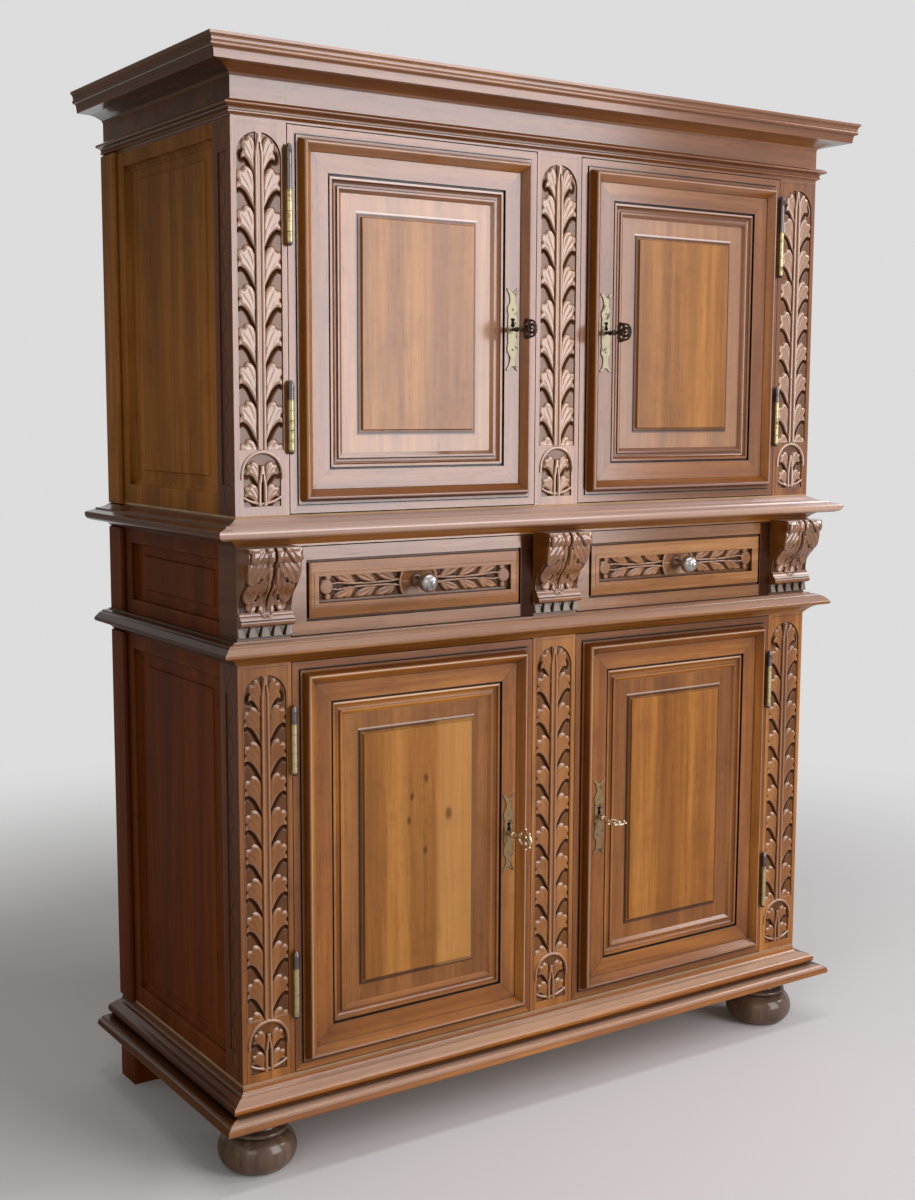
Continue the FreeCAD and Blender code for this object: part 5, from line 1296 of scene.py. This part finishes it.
class BUFFET_OT_fittings(bpy.types.Operator):
    """Makes the escutcheons, keys and hinge rings"""
    bl_idname = "buffet.fittings"
    bl_label = "Make the fittings"

    def execute(self, context):
        bronze = metal_finish(
            "Aged bronze", (0.21, 0.145, 0.075), (0.09, 0.06, 0.033), 0.42, cover=0.35
        )
        pale = metal_finish("Pale brass", (0.22, 0.20, 0.135), (0.11, 0.095, 0.06), 0.40, cover=0.3)
        brass = metal_finish("Key brass", (0.72, 0.62, 0.47), (0.30, 0.21, 0.13), 0.20, cover=0.25)
        iron = metal_finish("Key iron", (0.12, 0.10, 0.09), (0.035, 0.025, 0.02), 0.25, cover=0.4)
        hinge = metal_finish("Hinge brass", (0.36, 0.31, 0.18), (0.12, 0.09, 0.05), 0.34, cover=0.3)
        # A near-black finish that paints the shade inside the lock
        dark = Finish("Keyhole", Roughness=0.8, Specular_IOR_Level=0.1)
        dust = dark.noise(dark.place, 400.0)
        dark.feed(Base_Color=dark.mix(dust, (0.004, 0.003, 0.003), (0.012, 0.008, 0.006)))
        plates = {"lower": (bronze, "bronze"), "upper": (pale, "brass")}
        keys = {"lower": (brass, "brass"), "upper": (iron, "steel")}
        for stage in STAGES:
            for side, hand in HANDS:
                own = f"{stage}_{side}"
                low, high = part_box(f"{own}_escutcheon")
                place = np.array(((low.x + high.x) / 2, high.y, (low.z + high.z) / 2)) / MM
                plate = self.plate(f"{own}_plate", *place)
                finished(plate, f"{own}_door", *plates[stage], f"{own}_escutcheon")
                hole = self.backing(f"{own}_keyhole", *place)
                finished(hole, f"{own}_door", dark.material, "steel")
                turn = (0, 90 if own == "lower_right" else 0, 0)
                pivot = (hand * KEY_ASIDE, FRONT / MM, KEY_LEVELS[stage])
                key = placed(self.key(f"{own}_turnkey", stage), pivot, turn)
                finished(key, f"{own}_key", *keys[stage], f"{own}_key")
        finished(self.rings(), "carcase", hinge, "brass")
        return {"FINISHED"}

    def plate(self, name, x, face, level):
        """A plate with swallow tails, its edge chamfered, pierced by a keyhole, with two pins."""
        right = [*PLATE_OUTLINE, *reversed(moved(PLATE_OUTLINE, tall=-1))]
        outline = softened(right + moved(reversed(right[1:-1]), wide=-1))
        deselected()
        bpy.ops.mesh.primitive_circle_add(vertices=len(outline), radius=1, fill_type="NGON")
        plate = named(name)
        flat = np.stack((outline[:, 0], np.zeros(len(outline)), outline[:, 1]), 1)
        set_points(plate, (flat + (x, face, level)) * MM)
        chosen(plate)
        opened()
        bpy.ops.mesh.extrude_region_move(TRANSFORM_OT_translate={"value": (0, -0.0011, 0)})
        bpy.ops.mesh.inset(thickness=0.0007, depth=0.0)
        bpy.ops.transform.translate(value=(0, -0.0005, 0))
        outward()
        merged(plate, self.keyhole(x, face, level), "DIFFERENCE")
        pins = [
            ball("pin", 1.7, 16, 10, (x, face - 1.5, level + up), (1, 0.7, 1))
            for up in (-30.2, 30.2)
        ]
        return joined(name, plate, *pins)

    def keyhole(self, x, face, level):
        """The cutter of a keyhole: a round below, a narrow neck, a wider head."""
        neck = block("cutter", (x, face, level + 10.5), (4.4, 9, 10))
        head = block("cutter", (x, face, level + 15.3), (7.4, 9, 3.4))
        deselected()
        bpy.ops.mesh.primitive_cylinder_add(vertices=24, radius=0.0037, depth=0.009)
        eye = placed(named("cutter"), (x, face, level + 6.6), (90, 0, 0))
        for other in (head, eye):
            merged(neck, other, "UNION")
        return neck

    def backing(self, name, x, face, level):
        """A near-black block of painted shade: the dark of the lock, seen through the keyhole."""
        piece = block(name, (x, face - 0.1, level + 10.5), (8, 0.3, 15))
        modified(piece, "BEVEL", width=0.0001)
        return piece

    def key(self, name, stage):
        """A key that points to the front: shaft with its ball and collars, and the pierced bow."""
        pieces = [placed(turned("shaft", KEY_SHAFTS[stage], 24), (0, 0, 0), (90, 0, 0))]
        for out, up, radius, thick in KEY_RINGS[stage]:
            pieces.append(placed(ring(radius, thick), (0, -out, up), (0, 90, 0), (0.8, 1, 1)))
        for index in range(-2, 3) if stage == "lower" else ():
            angle = math.radians(index * 42)
            place = (0, -49 - 16.2 * math.cos(angle), 16.2 * math.sin(angle))
            pieces.append(ball("knop", 2.2, 14, 8, place, (0.9, 1, 1)))
        return joined(name, *pieces)

    def rings(self):
        """Six raised rings on each hinge barrel."""
        first = turned("band", ((4.3, -1.0), (5.0, -0.5), (5.0, 0.5), (4.3, 1.0)), 24)
        pieces = []
        for hand in (-1, 1):
            for start in HINGE_STARTS:
                for level in np.linspace(start + 1.2, start + BARREL - 1.2, 6):
                    pieces.append(copied(first, (hand * HINGE_X, HINGE_Y, level)))
        bpy.data.objects.remove(first)
        return joined("hinge_rings", *pieces)


class BUFFET_OT_finishes(bpy.types.Operator):
    """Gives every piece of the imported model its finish"""
    bl_idname = "buffet.finishes"
    bl_label = "Finish the joinery"

    def execute(self, context):
        moulding = mitred_finish("Moulding walnut")
        inside = inner_finish("Inner oak level", "x")
        brass = metal_finish("Brass", (0.44, 0.37, 0.20), (0.20, 0.15, 0.075), 0.34, 60.0, 0.25)
        steel = metal_finish("Steel", (0.13, 0.12, 0.115), (0.05, 0.042, 0.037), 0.28, 60.0, 0.3)
        # The first part that a name holds decides, so the narrower ones come first
        rules = (
            (door_frame_finish(), "door_frame"),
            (door_panel_finish(), "door_panel"),
            (stile_finish(), "pilaster"),
            (straight_finish("Foot walnut", "z", "foot"), "bun_feet"),
            (side_finish(), "side_frames", "side_panels", "side_mouldings"),
            (frieze_finish(), "frieze_rail"),
            # A wider reach of painted shade and wax, for the shade under the waist moulding
            (mitred_finish("Belt walnut", reach=0.06, dirt=1.0), "belt_frame"),
            (moulding, "cornice", "astragal", "moulding", "base_frame", "drawer_front", "corbels"),
            (inside, "top_board", "floor", "shelf", "shelves"),
            (inner_finish("Inner oak upright", "z"), "back_boards"),
            (inner_finish("Inner oak front to back", "y"), "runners", "drawer_box"),
            (steel, "hinge_pins", "lock", "bolt"),
            (brass, "hinge", "escutcheon", "key", "knob"),
        )
        for name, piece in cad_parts.items():
            found = [material for material, *parts in rules if any(part in name for part in parts)]
            if not found:
                raise RuntimeError(f"no finish for {name}")
            if not piece.material_slots:
                piece.data.materials.append(found[0])
            for slot in piece.material_slots:
                slot.material = found[0]
        return {"FINISHED"}


class BUFFET_OT_stage(bpy.types.Operator):
    """Sets the pale floor, the studio light and the camera"""
    bl_idname = "buffet.stage"
    bl_label = "Stage the buffet"

    def execute(self, context):
        scene = context.scene
        scene.view_settings.view_transform = "Standard"
        self.floor()
        self.world(scene)
        self.lamps(scene)
        self.camera(scene)
        return {"FINISHED"}

    def floor(self):
        """A pale floor that glows like the background where it is far off."""
        deselected()
        bpy.ops.mesh.primitive_circle_add(vertices=96, radius=30, fill_type="NGON")
        disc = named("floor")
        pale = (*colours().backdrop, 1)
        finish = Finish("Pale floor", Base_Color=pale, Roughness=0.9, Specular_IOR_Level=0.0)
        away = finish.length(finish.place).within(1.0, 2.6)
        glow = finish.add("ShaderNodeEmission", {}, {"Color": pale, "Strength": 1.0})
        near = Wire(finish, finish.shader.outputs[0])
        both = {0: finish.shown() * away, 1: near, 2: glow}
        mixed = finish.add("ShaderNodeMixShader", {}, both)
        finish.tree.links.new(mixed.socket, finish.output.inputs[0])
        disc.data.materials.append(finish.material)

    def world(self, scene):
        """Weak light from all round, and the backdrop for what sees the background itself."""
        scene.world = scene.world or bpy.data.worlds.new("Studio")
        scene.world.use_nodes = True
        tree = Tree(scene.world.node_tree)
        pale = (*colours().backdrop, 1)
        light = {"Color": (1.0, 0.98, 0.97, 1), "Strength": settings().fill_light}
        fill = tree.add("ShaderNodeBackground", {}, light)
        seen = tree.add("ShaderNodeBackground", {}, {"Color": pale, "Strength": 1.0})
        mixed = tree.add("ShaderNodeMixShader", {}, {0: tree.shown(), 1: fill, 2: seen})
        tree.add("ShaderNodeOutputWorld", {}, {0: mixed}, output=None)

    def lamp(self, scene, name, place, target, size, power, colour):
        light = bpy.data.lights.new(name, "AREA")
        light.shape = "RECTANGLE"
        light.size, light.size_y = size
        light.energy = power
        light.color = colour
        lamp = bpy.data.objects.new(name, light)
        scene.collection.objects.link(lamp)
        turn = (Vector(target) - Vector(place)).to_track_quat("-Z", "Y")
        lamp.matrix_world = Matrix.Translation(place) @ turn.to_matrix().to_4x4()

    def lamps(self, scene):
        sizes = settings()
        self.lamp(scene, "Window", (1.45, -3.2, 1.75), (0.2, 0.0, 1.5), (1.9, 2.8),
                  sizes.window_light, (1.0, 0.96, 0.99))
        self.lamp(scene, "Far window", (4.2, -2.2, 3.2), (0.0, 0.0, 1.0), (1.6, 1.6),
                  sizes.far_light, (1.0, 0.97, 1.0))
        self.lamp(scene, "Overhead", (0.0, -0.9, 3.3), (0.0, -0.2, 0.9), (2.6, 0.4),
                  sizes.overhead_light, (1.0, 0.98, 0.97))
        self.lamp(scene, "Left fill", (-2.8, -2.6, 2.0), (-0.5, 0.0, 0.9), (1.6, 1.6),
                  sizes.side_light, (1.0, 0.96, 0.90))

    def camera(self, scene):
        data = bpy.data.cameras.new("Camera")
        data.lens = 47.27
        data.sensor_width = 36.0
        data.sensor_fit = "AUTO"
        data.clip_start = 0.05
        camera = bpy.data.objects.new("Camera", data)
        scene.collection.objects.link(camera)
        yaw, pitch, roll = (math.radians(angle) for angle in (33.86, 7.04, -0.20))
        level = Vector((math.sin(yaw), math.cos(yaw), 0))
        ahead = math.cos(pitch) * level - math.sin(pitch) * Vector((0, 0, 1))
        right = Vector((math.cos(yaw), -math.sin(yaw), 0))
        down = ahead.cross(right)
        across = math.cos(roll) * right + math.sin(roll) * down
        below = -math.sin(roll) * right + math.cos(roll) * down
        turn = Matrix((across, -below, -ahead)).transposed().to_4x4()
        camera.matrix_world = Matrix.Translation((-1.5168, -2.1748, 1.1264)) @ turn
        scene.camera = camera


def number(name, text, value, low=0.0, high=1000.0, unit="NONE"):
    return FloatProperty(
        name=name, description=text, default=value, min=low, max=high, unit=unit
    )


def colour(name, text, value):
    return FloatVectorProperty(
        name=name, description=text, default=value, size=3, min=0.0, max=1.0, subtype="COLOR"
    )


class BuffetSizes(bpy.types.PropertyGroup):
    leaf_pitch: number(
        "Leaf pitch", "From one pair of leaves on a stile to the next, in millimetres", 52, 30, 90
    )
    stile_head: number(
        "Stile head", "From a stile's top down to its arched head, in millimetres", 16, 8, 40
    )
    carving_step: number("Carving step", "Grid of the carved sheets, in millimetres", 0.95, 0.5, 4)
    window_light: number("Window", "Power of the large light before the buffet", 88, unit="POWER")
    overhead_light: number("Overhead", "Power of the strip above the front", 20, unit="POWER")
    far_light: number("Far window", "Power of the light far to the right", 80, unit="POWER")
    side_light: number("Left fill", "Power of the weak light on the left side", 14, unit="POWER")
    fill_light: number("Fill", "Strength of the light from all round", 0.28)


class BuffetColours(bpy.types.PropertyGroup):
    frame_dark: colour("Frame, dark", "Dark grain of the joinery", (0.18, 0.054, 0.006))
    frame_light: colour("Frame, light", "Light grain of the joinery", (0.45, 0.18, 0.030))
    panel_dark: colour("Panel, dark", "Dark grain of the raised panels", (0.20, 0.070, 0.010))
    panel_light: colour("Panel, light", "Light grain of the raised panels", (0.42, 0.180, 0.036))
    carved_dark: colour("Carving, dark", "Dark grain of the carving", (0.15, 0.048, 0.007))
    carved_light: colour("Carving, light", "Light grain of the carving", (0.38, 0.150, 0.032))
    side_dark: colour("Side, dark", "Dark grain of the sides", (0.17, 0.060, 0.009))
    side_light: colour("Side, light", "Light grain of the sides", (0.40, 0.155, 0.032))
    foot_dark: colour("Foot, dark", "Dark grain of the bun feet", (0.065, 0.038, 0.025))
    foot_light: colour("Foot, light", "Light grain of the bun feet", (0.18, 0.11, 0.07))
    inner_dark: colour("Inside, dark", "Dark grain of the inner boards", (0.27, 0.155, 0.075))
    inner_light: colour("Inside, light", "Light grain of the inner boards", (0.47, 0.31, 0.17))
    drawer_dark: colour("Drawers, dark", "Dark grain of the drawer fronts", (0.20, 0.075, 0.020))
    drawer_light: colour("Drawers, light", "Light grain of the drawer fronts", (0.46, 0.23, 0.090))
    drop_dark: colour("Drops, dark", "Dark grain of the drops", (0.15, 0.12, 0.09))
    drop_light: colour("Drops, light", "Light grain of the drops", (0.27, 0.23, 0.185))
    backdrop: colour("Backdrop", "Floor and background", (0.72, 0.72, 0.72))


class BUFFET_PT_panel(bpy.types.Panel):
    """Sizes, colours and steps of the buffet"""
    bl_idname = "BUFFET_PT_panel"
    bl_label = "Buffet"
    bl_space_type = "VIEW_3D"
    bl_region_type = "UI"
    bl_category = "Buffet"

    def draw(self, context):
        for group in (settings(), colours()):
            for key in group.__annotations__:
                self.layout.prop(group, key)
        for operator in OPERATORS:
            self.layout.operator(operator.bl_idname)


OPERATORS = (
    BUFFET_OT_stage, BUFFET_OT_finishes, BUFFET_OT_stile_carving, BUFFET_OT_corbels,
    BUFFET_OT_drawers, BUFFET_OT_fittings,
)
CLASSES = (BuffetSizes, BuffetColours, *OPERATORS, BUFFET_PT_panel)


def register():
    for cls in CLASSES:
        bpy.utils.register_class(cls)
    bpy.types.Scene.buffet_sizes = PointerProperty(type=BuffetSizes)
    bpy.types.Scene.buffet_colours = PointerProperty(type=BuffetColours)


def unregister():
    del bpy.types.Scene.buffet_colours
    del bpy.types.Scene.buffet_sizes
    for cls in reversed(CLASSES):
        bpy.utils.unregister_class(cls)


def main():
    register()
    bpy.ops.buffet.stage()
    bpy.ops.buffet.finishes()
    bpy.ops.buffet.stile_carving()
    bpy.ops.buffet.corbels()
    bpy.ops.buffet.drawers()
    bpy.ops.buffet.fittings()


if __name__ == "__main__":
    main()
